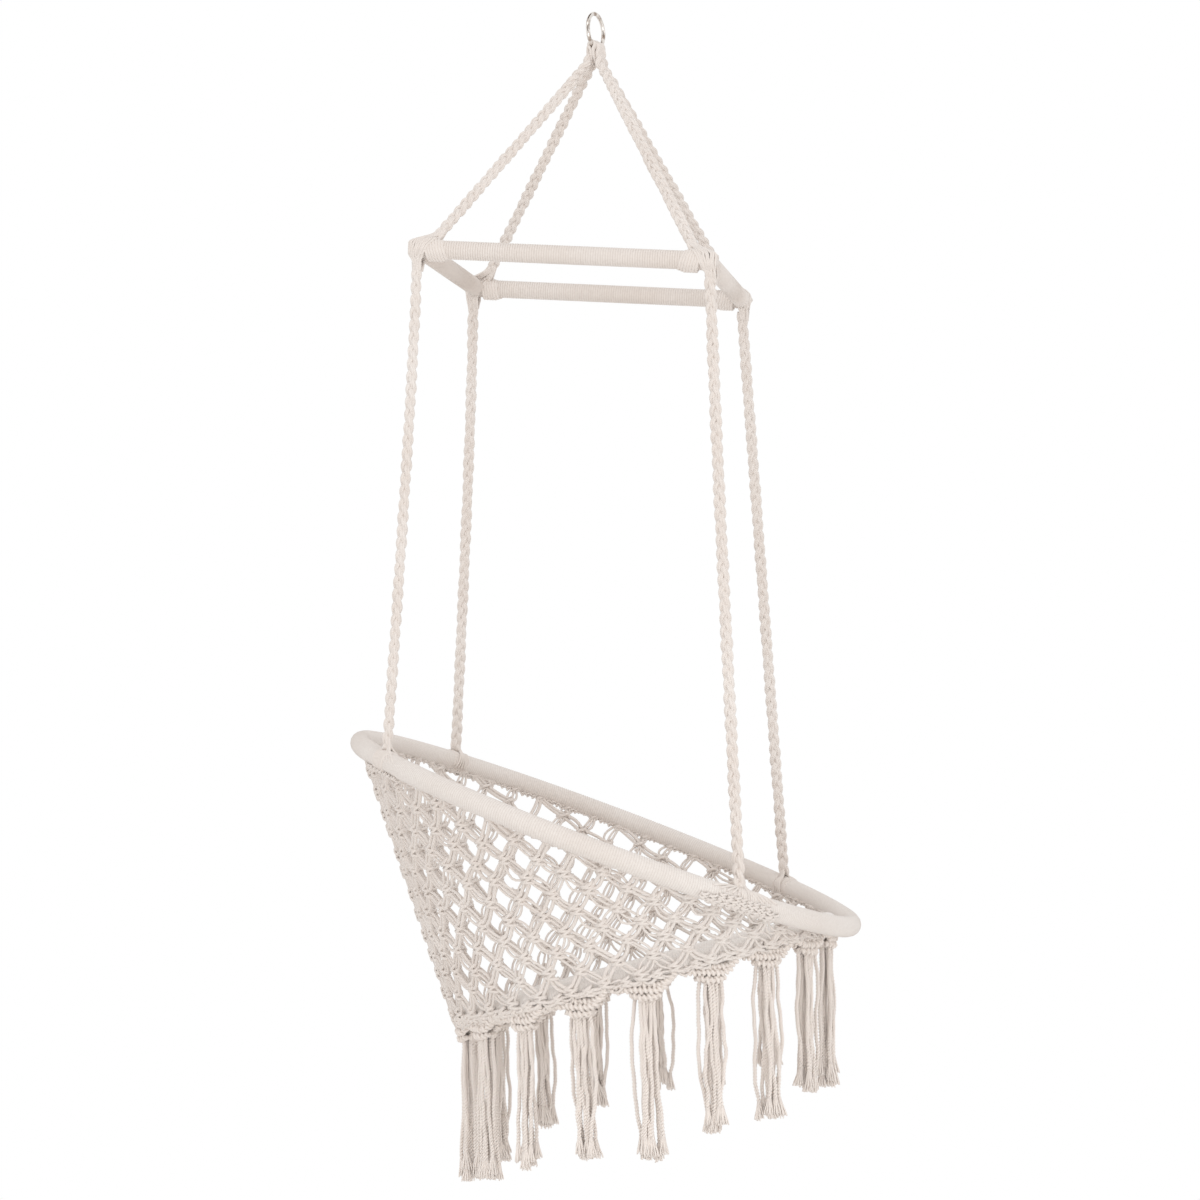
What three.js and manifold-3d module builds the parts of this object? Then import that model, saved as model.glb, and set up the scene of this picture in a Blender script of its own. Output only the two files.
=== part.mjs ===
import * as THREE from 'three';
import { mergeVertices } from 'three/addons/utils/BufferGeometryUtils.js';
import Module from 'manifold-3d';

// A hanging macrame chair: a steel ring, four ropes, a wrapped square spreader, four more ropes,
// and a seat made of a big tilted hoop, a smaller seat ring, an open net between them and tassels.
// Millimetres, +Z up, +X to the chair's front, +Y to its left. The origin is the highest point
// of the hanging ring's eye, where the hook bears.

// Hanging ring
const ringOuterRadius = 29;
const ringWire = 6;
const ringTurn = THREE.MathUtils.degToRad(17);

// Cords over the ring
const saddleWall = 1.9;
const saddleHalfAngle = THREE.MathUtils.degToRad(28);
const bundleWidth = 24;
const bundleWall = 7.6;
const bundleLegLength = 42;
const apexDrop = 58;

// Ropes
const ropeRadius = 7.5;
const ropeSeatGap = 0.35;
const upperRopeGap = 0.1;
const upperRopeInset = 9;
const openPivotGap = 1.6;

// Spreader
const spreaderSide = 416;
const spreaderX = -22;
const spreaderDrop = 387.6;
const spreaderTilt = THREE.MathUtils.degToRad(5);
const spreaderTube = 22;
const spreaderWrapRadius = 13.75;

// Lashing and knot at each corner
const lashingCord = 5.5;
const lashingTurns = 3;
const lashingPitch = 6.1;
const lashingInset = 17;
const cornerKnotRadius = 10;

// Hoop
const hoopRadius = 384;
const hoopX = -11.3;
const hoopDrop = 1213.8;
const hoopTilt = THREE.MathUtils.degToRad(21.9);
const hoopTube = 25;
const hoopWrapRadius = 15.25;
const rearRopeAngle = THREE.MathUtils.degToRad(140.2);
const frontRopeAngle = THREE.MathUtils.degToRad(49.4);

// Rope knots on the hoop
const hoopKnotRadius = 9;
const hoopCollarWall = 3.4;
const hoopCollarLength = 29;

// Seat ring, whose front lies just inside the hoop's front
const seatRadius = 274;
const seatSetback = 33.26;
const seatRise = 5.69;
const seatTilt = THREE.MathUtils.degToRad(-13.5);
const seatTube = 22;
const seatWrapRadius = 14.2;

// Nets
const netThickness = 4;
const netColumnAngle = THREE.MathUtils.degToRad(10);
const netPhase = THREE.MathUtils.degToRad(-3);
const netFirstColumn = 3;
const netColumns = 30;
const netHalfRow = 31.5;
const netBand = 9;
const netKnotHalf = 3.2;
const netEndMargin = 7;
const netHoopGap = 1.5;
const seatNetColumns = 18;
const seatNetRows = 4;
const seatNetHalfRow = 45;
const seatNetBand = 12;
const seatNetKnotHalf = 9;
const seatNetSag = 16;

// Tassels
const tasselCount = 18;
const tasselKnotRadius = 9.3;
const tasselNeckRadius = 6.6;
const tasselFlareRadius = 15.5;
const tasselLength = 214;

// Clearances and facets
const clearance = 0.35;
const seamGap = 1.2;
const cutOverrun = 5;
const cutShare = 0.1;
const ropeSides = 8;
const eyeSides = 16;
const boreRows = 4;
const ringSteps = 24;
const coilSteps = 12;
const hoopSideSteps = 12;
const hoopFrontSteps = 13;
const hoopRearSteps = 11;
const seatSteps = 36;
const saddleSteps = 6;
const tubeSides = 8;
const wrapSides = 8;
const barSides = 12;
const barWrapSides = 14;
const lashingSides = 6;
const knotSides = 8;
const knotRows = 8;
const tasselSides = 8;
const tasselKnotRows = 3;
const mergeShare = 1e-5;
const angleSlack = 1e-9;

// Colours of cotton cord and steel
const cotton = 0xd8cfc8;
const shadedCotton = 0xcbbfb6;
const innerSteel = 0x6d7073;
const brightSteel = 0xc9cbcd;

const wasm = await Module();
wasm.setup();

const chair = new THREE.Group();
const up = new THREE.Vector3(0, 0, 1);

function cottonFinish(color = cotton) {
  return new THREE.MeshStandardMaterial({ color, roughness: 0.93, metalness: 0 });
}

function steelFinish(color, roughness) {
  return new THREE.MeshStandardMaterial({ color, roughness, metalness: 1 });
}

function addPiece(name, geometry, material, parent = chair) {
  const mesh = new THREE.Mesh(geometry, material);
  mesh.name = name;
  parent.add(mesh);
  return mesh;
}

// Solids for joining and cutting
function toSolid(geometry) {
  const bare = geometry.clone();
  bare.deleteAttribute('normal');
  bare.deleteAttribute('uv');
  bare.computeBoundingSphere();
  const merged = mergeVertices(bare, bare.boundingSphere.radius * mergeShare);
  return new wasm.Manifold(new wasm.Mesh({
    numProp: 3,
    vertProperties: new Float32Array(merged.attributes.position.array),
    triVerts: new Uint32Array(merged.index.array),
  }));
}

function fromSolid(solid) {
  const mesh = solid.getMesh();
  const geometry = new THREE.BufferGeometry();
  geometry.setAttribute('position', new THREE.BufferAttribute(mesh.vertProperties, mesh.numProp));
  geometry.setIndex(new THREE.BufferAttribute(mesh.triVerts, 1));
  geometry.computeVertexNormals();
  return geometry;
}

function join(geometries) {
  const [first, ...rest] = geometries.map(toSolid);
  return fromSolid(rest.reduce((whole, solid) => whole.add(solid), first));
}

function cut(geometry, tools) {
  return fromSolid(tools.map(toSolid).reduce((whole, tool) => whole.subtract(tool), toSolid(geometry)));
}

function facetedSolid(points, triangles) {
  const geometry = new THREE.BufferGeometry();
  const places = points.flatMap((point) => point.toArray());
  geometry.setAttribute('position', new THREE.Float32BufferAttribute(places, 3));
  geometry.setIndex(triangles);
  geometry.computeVertexNormals();
  return geometry;
}

// Outlines and sweeps
function polygonPoints(radius, sides) {
  const points = [];
  for (let i = 0; i < sides; i += 1) {
    const angle = (i / sides) * 2 * Math.PI;
    points.push(new THREE.Vector2(radius * Math.cos(angle), radius * Math.sin(angle)));
  }
  return points;
}

function roundSection(radius, sides, bore = 0, boreSides = sides) {
  const section = new THREE.Shape(polygonPoints(radius, sides));
  if (bore > 0) section.holes.push(new THREE.Path(polygonPoints(bore, boreSides)));
  return section;
}

function sweep(section, path, steps) {
  return new THREE.ExtrudeGeometry(section, { extrudePath: path, steps, bevelEnabled: false });
}

function straightPiece(from, to, section) {
  return sweep(section, new THREE.LineCurve3(from, to), 1);
}

class ArcCurve extends THREE.Curve {
  constructor(pointAt, start, end) {
    super();
    this.pointAt = pointAt;
    this.start = start;
    this.end = end;
  }

  getPoint(share, target = new THREE.Vector3()) {
    return target.copy(this.pointAt(this.start + (this.end - this.start) * share));
  }
}

// The hoop and the seat ring are faceted alike in their tubes, wraps and collars, so that all keep
// their clearance: every section stands at a station, which lies on the same straight facets.
class TiltedRing {
  constructor(radius, x, drop, tilt, stops) {
    this.radius = radius;
    this.tilt = tilt;
    this.centre = new THREE.Vector3(x, 0, -drop);
    this.angles = stops.flatMap(({ angle, steps }, i) => {
      const end = i + 1 < stops.length ? stops[i + 1].angle : stops[0].angle + 2 * Math.PI;
      return Array.from({ length: steps }, (_, j) => angle + ((end - angle) * j) / steps);
    });
  }

  place(flat) {
    return flat.applyAxisAngle(new THREE.Vector3(0, 1, 0), this.tilt).add(this.centre);
  }

  at(angle, outward = 0, upward = 0) {
    const distance = this.radius + outward;
    return this.place(new THREE.Vector3(distance * Math.cos(angle), distance * Math.sin(angle), upward));
  }

  way(angle) {
    const axis = this.at(angle, 0, 1).sub(this.at(angle));
    return axis.cross(this.at(angle, 1).sub(this.at(angle)));
  }

  // How far out the facets' straight line lies from the true circle at an angle, below zero
  facetOffset(angle) {
    const turn = 2 * Math.PI;
    const from = this.angles[0] + ((((angle - this.angles[0]) % turn) + turn) % turn);
    const next = this.angles.findIndex((stop) => stop > from + angleSlack);
    const high = next < 0 ? this.angles[0] + turn : this.angles[next];
    const low = next < 0 ? this.angles[this.angles.length - 1] : this.angles[next - 1];
    return this.radius * (Math.cos((high - low) / 2) / Math.cos(from - (high + low) / 2) - 1);
  }

  section(angle, tubeRadius, sides) {
    const offset = this.facetOffset(angle);
    return polygonPoints(tubeRadius, sides).map(({ x, y }) => this.at(angle, offset + x, y));
  }
}

function spreaderPoint(x, y, z = 0) {
  return new THREE.Vector3(x, y, z)
    .applyAxisAngle(new THREE.Vector3(0, 1, 0), spreaderTilt)
    .add(new THREE.Vector3(spreaderX, 0, -spreaderDrop));
}

const corners = [
  { name: 'rear_left', x: -1, y: 1, angle: rearRopeAngle },
  { name: 'rear_right', x: -1, y: -1, angle: -rearRopeAngle },
  { name: 'front_left', x: 1, y: 1, angle: frontRopeAngle },
  { name: 'front_right', x: 1, y: -1, angle: -frontRopeAngle },
];

const hoop = new TiltedRing(hoopRadius, hoopX, hoopDrop, hoopTilt, [
  { angle: -rearRopeAngle, steps: hoopSideSteps },
  { angle: -frontRopeAngle, steps: hoopFrontSteps },
  { angle: frontRopeAngle, steps: hoopSideSteps },
  { angle: rearRopeAngle, steps: hoopRearSteps },
]);
const seatReach = seatSetback + seatRadius * Math.cos(seatTilt);
const seatX = hoopX + hoopRadius * Math.cos(hoopTilt) - seatReach;
const seatFall = seatRise + seatRadius * Math.sin(seatTilt);
const seatDrop = hoopDrop + hoopRadius * Math.sin(hoopTilt) - seatFall;
const seat = new TiltedRing(seatRadius, seatX, seatDrop, seatTilt, [
  { angle: netPhase, steps: seatSteps },
]);

const half = spreaderSide / 2;
const coilRadius = (spreaderWrapRadius + clearance + lashingCord / 2) / Math.cos(Math.PI / coilSteps);
const ringRadius = ringOuterRadius - ringWire / 2;
const ringCentreDrop = ringOuterRadius - ringWire;
const wireBottomDrop = ringCentreDrop + ringRadius;
const apex = new THREE.Vector3(0, 0, -apexDrop);

// Hanging ring, saddle and cord bundle
function makeHanger() {
  const hanger = new THREE.Group();
  hanger.rotation.z = -ringTurn;
  chair.add(hanger);

  const ring = new THREE.TorusGeometry(ringRadius, ringWire / 2, tubeSides, ringSteps);
  ring.rotateY(Math.PI / 2);
  ring.translate(0, 0, -ringCentreDrop);
  addPiece('hanging_ring', ring, steelFinish(brightSteel, 0.18), hanger);

  const wirePoint = (angle) => new THREE.Vector3(
    0,
    ringRadius * Math.sin(angle),
    -ringCentreDrop - ringRadius * Math.cos(angle),
  );
  const saddleBore = ringWire / 2 + clearance;
  const saddleRadius = saddleBore + saddleWall;
  const saddleSection = roundSection(saddleRadius, tubeSides, saddleBore);
  const saddlePath = new ArcCurve(wirePoint, -saddleHalfAngle, saddleHalfAngle);
  const saddle = sweep(saddleSection, saddlePath, saddleSteps);
  addPiece('cord_saddle', saddle, cottonFinish(shadedCotton), hanger);

  // The bundle's eye is round about the wire, and widens outwards as the wire curves up.
  const eyeOuter = saddleRadius + clearance + bundleWall;
  const eyeShares = [[0, -0.5], [0.86, -0.5], [1, -0.28], [1, 0.28], [0.86, 0.5], [0, 0.5]];
  const eye = new THREE.LatheGeometry(eyeShares.map(([radiusShare, widthShare]) => (
    new THREE.Vector2(eyeOuter * radiusShare, bundleWidth * widthShare)
  )), eyeSides);
  const boreProfile = [new THREE.Vector2(0, -bundleWidth)];
  for (let row = 0; row <= boreRows; row += 1) {
    const y = bundleWidth * (row / boreRows - 1 / 2) * (1 + cutShare);
    const rise = ringRadius - Math.sqrt(ringRadius ** 2 - y ** 2);
    const boreRadius = (saddleRadius + clearance + rise) / Math.cos(Math.PI / eyeSides);
    boreProfile.push(new THREE.Vector2(boreRadius, y));
  }
  boreProfile.push(new THREE.Vector2(0, bundleWidth));
  const bore = new THREE.LatheGeometry(boreProfile, eyeSides);
  [eye, bore].forEach((turned) => {
    turned.translate(0, 0, -wireBottomDrop);
    turned.rotateZ(-ringTurn);
  });
  const legs = corners.map((corner) => {
    const end = apex.clone().addScaledVector(upperRopeWay(corner), bundleLegLength);
    return straightPiece(apex, end, roundSection(ropeRadius, ropeSides));
  });
  addPiece('cord_bundle', cut(join([eye, ...legs]), [bore]), cottonFinish());
}

// An upper rope runs from the cord bundle to the outer turn of its corner's lashing.
function upperRopeWay({ x, y }) {
  return spreaderPoint(x * (half - upperRopeInset), y * half).sub(apex).normalize();
}

function makeUpperRopes() {
  const barWay = spreaderPoint(half, 0).sub(spreaderPoint(0, 0)).normalize();
  corners.forEach((corner) => {
    const foot = spreaderPoint(corner.x * (half - upperRopeInset), corner.y * half);
    const way = upperRopeWay(corner);
    const alongBar = Math.abs(way.dot(barWay));
    const fromBar = Math.sqrt(1 - alongBar ** 2);
    const stop = (coilRadius + lashingCord / 2 + upperRopeGap + ropeRadius * alongBar) / fromBar;
    const start = apex.clone().addScaledVector(way, bundleLegLength + clearance);
    const end = foot.addScaledVector(way, -stop);
    const rope = straightPiece(start, end, roundSection(ropeRadius, ropeSides));
    addPiece(`upper_rope_${corner.name}`, rope, cottonFinish());
  });
}

// Spreader: a square of round tube, four wraps, and a lashing and a knot at each corner
function makeSpreader() {
  const tubeRadius = spreaderTube / 2;
  const boreRadius = tubeRadius + clearance;
  const bar = (a, b, section) => straightPiece(spreaderPoint(...a), spreaderPoint(...b), section);
  const tube = roundSection(tubeRadius, barSides);
  const bars = [-1, 1].flatMap((side) => [
    bar([-half - tubeRadius, side * half], [half + tubeRadius, side * half], tube),
    bar([side * half, -half], [side * half, half], tube),
  ]);
  addPiece('spreader_tube', join(bars), steelFinish(innerSteel, 0.5));

  const wrap = roundSection(spreaderWrapRadius, barWrapSides, boreRadius, barSides);
  const sideReach = half + spreaderWrapRadius;
  const crossReach = half - spreaderWrapRadius - clearance;
  [['right', -1], ['left', 1]].forEach(([name, side]) => {
    const sleeve = bar([-sideReach, side * half], [sideReach, side * half], wrap);
    const passages = [-1, 1].map((end) => bar(
      [end * half, side * half],
      [end * half, side * (half - spreaderWrapRadius - cutOverrun)],
      roundSection(boreRadius, barSides),
    ));
    addPiece(`spreader_wrap_${name}`, cut(sleeve, passages), cottonFinish());
  });
  [['rear', -1], ['front', 1]].forEach(([name, side]) => {
    const sleeve = bar([side * half, -crossReach], [side * half, crossReach], wrap);
    addPiece(`spreader_wrap_${name}`, sleeve, cottonFinish(shadedCotton));
  });
}

// A lashing's turns lie side by side round the bar; its least gap to itself is pitch less cord.
function makeCornerLashings() {
  corners.forEach(({ name, x, y }) => {
    const innermost = half - lashingInset;
    const turnPoint = (turn) => spreaderPoint(
      x * (innermost - lashingPitch * turn),
      y * half + coilRadius * Math.sin(turn * 2 * Math.PI),
      coilRadius * Math.cos(turn * 2 * Math.PI),
    );
    const path = new ArcCurve(turnPoint, 0, lashingTurns);
    const coil = sweep(roundSection(lashingCord / 2, lashingSides), path, lashingTurns * coilSteps);
    addPiece(`corner_lashing_${name}`, coil, cottonFinish(shadedCotton));

    const knot = new THREE.SphereGeometry(cornerKnotRadius, knotSides, knotRows);
    knot.rotateX(Math.PI / 2);
    const mesh = addPiece(`corner_knot_${name}`, knot, cottonFinish());
    mesh.position.copy(cornerPivot(x, y));
  });
  console.log(`corner lashing: least gap between turns ${leastTurnGap().toFixed(2)} mm`);
}

function leastTurnGap() {
  const point = (turn) => new THREE.Vector3(
    lashingPitch * turn,
    coilRadius * Math.sin(turn * 2 * Math.PI),
    coilRadius * Math.cos(turn * 2 * Math.PI),
  );
  let least = Infinity;
  const count = lashingTurns * coilSteps;
  for (let i = 0; i <= count; i += 1) {
    for (let j = i + coilSteps / 2; j <= count; j += 1) {
      least = Math.min(least, point(i / coilSteps).distanceTo(point(j / coilSteps)) - lashingCord);
    }
  }
  return least;
}

function cornerPivot(x, y) {
  const drop = spreaderWrapRadius + clearance + cornerKnotRadius;
  return spreaderPoint(x * half, y * half).addScaledVector(up, -drop);
}

// The knot on the hoop sits on the tube's side that faces its rope.
function hoopPivot({ x, y, angle }) {
  const tubeCentre = hoop.at(angle);
  const way = cornerPivot(x, y).sub(tubeCentre).normalize();
  const slant = way.angleTo(hoop.way(angle));
  return tubeCentre.addScaledVector(way, (hoopWrapRadius + clearance + hoopKnotRadius) / Math.sin(slant));
}

// Lower ropes hang from the corner knots to the knots on the hoop.
function makeLowerRopes() {
  corners.forEach((corner) => {
    const top = cornerPivot(corner.x, corner.y);
    const bottom = hoopPivot(corner);
    const way = bottom.clone().sub(top).normalize();
    const lowerGap = corner.x > 0 ? openPivotGap : ropeSeatGap;
    const start = top.clone().addScaledVector(way, cornerKnotRadius + ropeSeatGap);
    const end = bottom.clone().addScaledVector(way, -hoopKnotRadius - lowerGap);
    const rope = straightPiece(start, end, roundSection(ropeRadius, ropeSides));
    addPiece(`lower_rope_${corner.name}`, rope, cottonFinish());
  });
}

// A tube through the ring's stations: solid and endless, or hollow with two ends
function ringTube(ring, angles, outerRadius, sides, bore = 0) {
  const endless = bore === 0;
  const rows = angles.map((angle) => ring.section(angle, outerRadius, sides));
  const inner = endless ? [] : angles.map((angle) => ring.section(angle, bore, sides));
  const triangles = [];
  const quad = (a, b, c, d) => triangles.push(a, b, c, a, c, d);
  const skin = (row, next, side, beside, firstRow, inside) => {
    const [a, b] = [(firstRow + row) * sides, (firstRow + next) * sides];
    if (inside) quad(a + side, a + beside, b + beside, b + side);
    else quad(a + side, b + side, b + beside, a + beside);
  };
  for (let side = 0; side < sides; side += 1) {
    const beside = (side + 1) % sides;
    const joints = endless ? angles.length : angles.length - 1;
    for (let row = 0; row < joints; row += 1) {
      const next = (row + 1) % angles.length;
      skin(row, next, side, beside, 0, false);
      if (!endless) skin(row, next, side, beside, rows.length, true);
    }
    if (!endless) {
      const core = rows.length * sides;
      const last = (rows.length - 1) * sides;
      quad(side, beside, core + beside, core + side);
      quad(last + beside, last + side, core + last + side, core + last + beside);
    }
  }
  return facetedSolid([...rows, ...inner].flat(), triangles);
}

// Hoop and seat ring: an endless tube, and a wrap whose two ends meet at a seam
function makeRing(name, ring, tubeSize, wrapRadius) {
  const tube = ringTube(ring, ring.angles, tubeSize / 2, wrapSides);
  addPiece(`${name}_tube`, tube, steelFinish(innerSteel, 0.5));

  const seamHalf = seamGap / ring.radius / 2;
  const [first, ...rest] = ring.angles;
  const stations = [first + seamHalf, ...rest, first + 2 * Math.PI - seamHalf];
  const wrap = ringTube(ring, stations, wrapRadius, wrapSides, tubeSize / 2 + clearance);
  addPiece(`${name}_wrap`, wrap, cottonFinish());
}

// Each rope is tied to the hoop with a collar of cord round the wrap and a knot on it.
function makeHoopKnots() {
  const collarHalf = hoopCollarLength / hoop.radius / 2;
  const bore = hoopWrapRadius + clearance;
  corners.forEach((corner) => {
    const stations = [corner.angle - collarHalf, corner.angle, corner.angle + collarHalf];
    const collar = ringTube(hoop, stations, bore + hoopCollarWall, wrapSides, bore);
    const knot = new THREE.SphereGeometry(hoopKnotRadius, knotSides, knotRows);
    knot.rotateX(Math.PI / 2);
    knot.translate(...hoopPivot(corner).toArray());
    addPiece(`hoop_knot_${corner.name}`, join([collar, knot]), cottonFinish(shadedCotton));
  });
}

// A patch of net in flat coordinates: columns along it and millimetres up it. Every crossing is
// a small diamond, and every cord a strip between two of them.
function netPatch({ columns, closed, band, halfRow, knotHalf, knotShare, limit, margin, rows = Infinity }) {
  const points = [];
  const faces = [];
  const names = new Map();
  const place = (key, column, height) => {
    if (!names.has(key)) {
      names.set(key, points.length);
      points.push([column, height]);
    }
    return names.get(key);
  };
  const wrapColumn = (column) => (closed ? ((column % columns) + columns) % columns : column);
  const exists = (column) => closed || (column >= 0 && column <= columns);
  const height = (row) => band + halfRow * row;
  const kept = (column, row) => exists(column) && row <= rows
    && (row === 0 || height(row) + knotHalf + margin <= limit(column));
  const corner = (column, row, side) => {
    const at = wrapColumn(column);
    const flat = row === 0 || row === rows;
    const sideways = { left: -knotShare, right: knotShare, top: 0, bottom: 0 }[side];
    const upward = { left: 0, right: 0, top: knotHalf, bottom: -knotHalf }[side];
    return place(`${at} ${row} ${side}`, at + sideways, height(row) + (flat && sideways ? 0 : upward));
  };

  // Cords up from each crossing, to the next one or to the net's end, where they stay apart
  const strip = (column, row, side) => {
    const next = column + side / 2;
    if (!exists(next)) return;
    const near = side > 0 ? 'right' : 'left';
    const far = side > 0 ? 'left' : 'right';
    const outerStart = corner(column, row, near);
    const innerStart = corner(column, row, 'top');
    let outerEnd;
    let innerEnd;
    if (kept(next, row + 1)) {
      outerEnd = corner(next, row + 1, 'bottom');
      innerEnd = corner(next, row + 1, far);
    } else {
      const riseShare = (limit(next) - height(row)) / halfRow;
      const middle = column + side * Math.min(riseShare / 2, 1 / 2 - knotShare);
      const end = (edge, at) => place(`${column} ${row} ${near} ${edge}`, at, limit(at));
      outerEnd = end('outer', middle + (side * knotShare) / 2);
      innerEnd = end('inner', middle - (side * knotShare) / 2);
    }
    faces.push(side > 0
      ? [outerStart, outerEnd, innerEnd, innerStart]
      : [outerStart, innerStart, innerEnd, outerEnd]);
  };

  const last = closed ? columns - 1 : columns;
  for (let column = 0; column <= last; column += 1) {
    const foot = (key, at, side) => place(`foot ${wrapColumn(key)} ${side}`, wrapColumn(key) + at, 0);
    const left = corner(column, 0, 'left');
    const right = corner(column, 0, 'right');
    const footLeft = foot(column, -knotShare, 'left');
    const footRight = foot(column, knotShare, 'right');
    faces.push([left, right, corner(column, 0, 'top')]);
    faces.push([footLeft, footRight, right, left]);
    if (closed || column < last) {
      faces.push([footRight, foot(column + 1, -knotShare, 'left'), corner(column + 1, 0, 'left'), right]);
    }
  }
  for (let row = 0; row === 0 || row < rows; row += 1) {
    let found = false;
    for (let column = row % 2 ? 0.5 : 0; column <= last + (closed ? 0.5 : 0); column += 1) {
      if (!kept(column, row)) continue;
      found = true;
      if (row > 0) {
        faces.push(['left', 'bottom', 'right', 'top'].map((side) => corner(column, row, side)));
      }
      strip(column, row, 1);
      strip(column, row, -1);
    }
    if (!found) break;
  }
  return { points, faces, corner, height };
}

// Gives a flat patch its thickness on a curved surface, with walls along its open edges
function thicken({ points, faces }, surface) {
  const vertices = [];
  points.forEach(([column, height]) => {
    const { position, normal } = surface(column, height);
    vertices.push(position.clone().addScaledVector(normal, netThickness / 2));
  });
  points.forEach(([column, height]) => {
    const { position, normal } = surface(column, height);
    vertices.push(position.clone().addScaledVector(normal, -netThickness / 2));
  });
  const count = points.length;
  const triangles = [];
  const edges = new Map();
  faces.forEach((face) => {
    for (let i = 1; i < face.length - 1; i += 1) {
      triangles.push(face[0], face[i], face[i + 1]);
      triangles.push(count + face[0], count + face[i + 1], count + face[i]);
    }
    face.forEach((from, i) => {
      const to = face[(i + 1) % face.length];
      if (edges.has(`${to} ${from}`)) edges.delete(`${to} ${from}`);
      else edges.set(`${from} ${to}`, [from, to]);
    });
  });
  edges.forEach(([from, to]) => {
    triangles.push(from, count + from, count + to);
    triangles.push(from, count + to, to);
  });
  return facetedSolid(vertices, triangles);
}

// The side net lies on straight lines from under the hoop that touch the seat ring's outer side.
function makeSideNet() {
  const offset = seatWrapRadius + clearance + netThickness / 2;
  const collarReach = (hoopCollarLength / 2 + hoopWrapRadius + netThickness) / hoop.radius;
  const rulingAt = (angle) => {
    const ringCentre = seat.at(angle);
    const ringWay = seat.way(angle);
    const toHoop = hoop.at(angle, hoop.facetOffset(angle)).sub(ringCentre);
    const slant = toHoop.angleTo(hoop.way(angle));
    const bearing = Math.atan2(Math.sin(angle), Math.cos(angle));
    const atCollar = corners.some((corner) => Math.abs(bearing - corner.angle) < collarReach);
    const hoopSide = hoopWrapRadius + (atCollar ? clearance + hoopCollarWall : 0);
    const underHoop = (hoopSide + netHoopGap) / Math.sin(slant);
    toHoop.setLength(toHoop.length() - underHoop);
    const across = toHoop.clone().projectOnPlane(ringWay);
    const lean = Math.asin(offset / across.length());
    const normal = across.clone().normalize().applyAxisAngle(ringWay, Math.PI / 2 - lean);
    const start = ringCentre.clone().addScaledVector(normal, offset);
    const line = ringCentre.add(toHoop).sub(start);
    return { start, normal, length: line.length(), line: line.normalize() };
  };
  const angleOf = (column) => netPhase + (netFirstColumn + column) * netColumnAngle;
  const patch = netPatch({
    columns: netColumns,
    closed: false,
    band: netBand,
    halfRow: netHalfRow,
    knotHalf: netKnotHalf,
    knotShare: netKnotHalf / (seatRadius * netColumnAngle),
    margin: netEndMargin,
    limit: (column) => rulingAt(angleOf(column)).length,
  });
  const surface = (column, height) => {
    const { start, normal, line } = rulingAt(angleOf(column));
    return { position: start.addScaledVector(line, height), normal };
  };
  addPiece('side_net', thicken(patch, surface), cottonFinish());
}

// The seat net fills the seat ring, sags a little, and closes on a round centre.
function makeSeatNet() {
  const outerRadius = seatRadius - seatWrapRadius - clearance - netThickness / 4;
  const columnAngle = (2 * Math.PI) / seatNetColumns;
  const patch = netPatch({
    columns: seatNetColumns,
    closed: true,
    band: seatNetBand,
    halfRow: seatNetHalfRow,
    knotHalf: seatNetKnotHalf,
    knotShare: seatNetKnotHalf / (outerRadius * columnAngle),
    margin: 0,
    limit: () => Infinity,
    rows: seatNetRows,
  });
  const rim = [];
  for (let column = 0; column < seatNetColumns; column += 1) {
    const at = column + (seatNetRows % 2) / 2;
    const left = patch.corner(at, seatNetRows, 'left');
    const right = patch.corner(at, seatNetRows, 'right');
    patch.faces.push([left, patch.corner(at, seatNetRows, 'bottom'), right]);
    rim.push(left, right);
  }
  const inner = rim.map((index) => {
    patch.points.push([patch.points[index][0], patch.height(seatNetRows) + seatNetBand]);
    return patch.points.length - 1;
  });
  rim.forEach((index, i) => {
    const next = (i + 1) % rim.length;
    patch.faces.push([index, rim[next], inner[next], inner[i]]);
  });
  patch.points.push([0, outerRadius]);
  const centre = patch.points.length - 1;
  inner.forEach((index, i) => patch.faces.push([index, inner[(i + 1) % inner.length], centre]));

  const surface = (column, height) => {
    const radius = outerRadius - height;
    const angle = netPhase + column * columnAngle;
    const dip = seatNetSag * (1 - (radius / outerRadius) ** 2);
    const position = seat.at(angle, radius - seat.radius, -dip);
    const normal = seat.at(angle, 0, 1).sub(seat.at(angle));
    return { position, normal };
  };
  addPiece('seat_net', thicken(patch, surface), cottonFinish(shadedCotton));
}

// A tassel's knot sits right under the seat ring's wrap, on the flat of its facets or at an edge.
function tasselPivot(angle) {
  const down = up.clone().negate().projectOnPlane(seat.way(angle)).normalize();
  const under = seat.at(angle, 0, -1).sub(seat.at(angle));
  const lean = down.angleTo(under);
  const reach = clearance + tasselKnotRadius;
  const halfFace = Math.PI / wrapSides;
  const flatReach = seatWrapRadius * Math.cos(halfFace) + reach;
  const onFace = flatReach / Math.cos(halfFace - lean);
  const pastFace = Math.tan(halfFace - lean) * flatReach > seatWrapRadius * Math.sin(halfFace);
  const aside = seatWrapRadius * Math.sin(lean);
  const toEdge = seatWrapRadius * Math.cos(lean) + Math.sqrt(reach ** 2 - aside ** 2);
  return seat.at(angle).addScaledVector(down, pastFace ? toEdge : onFace);
}

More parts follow.
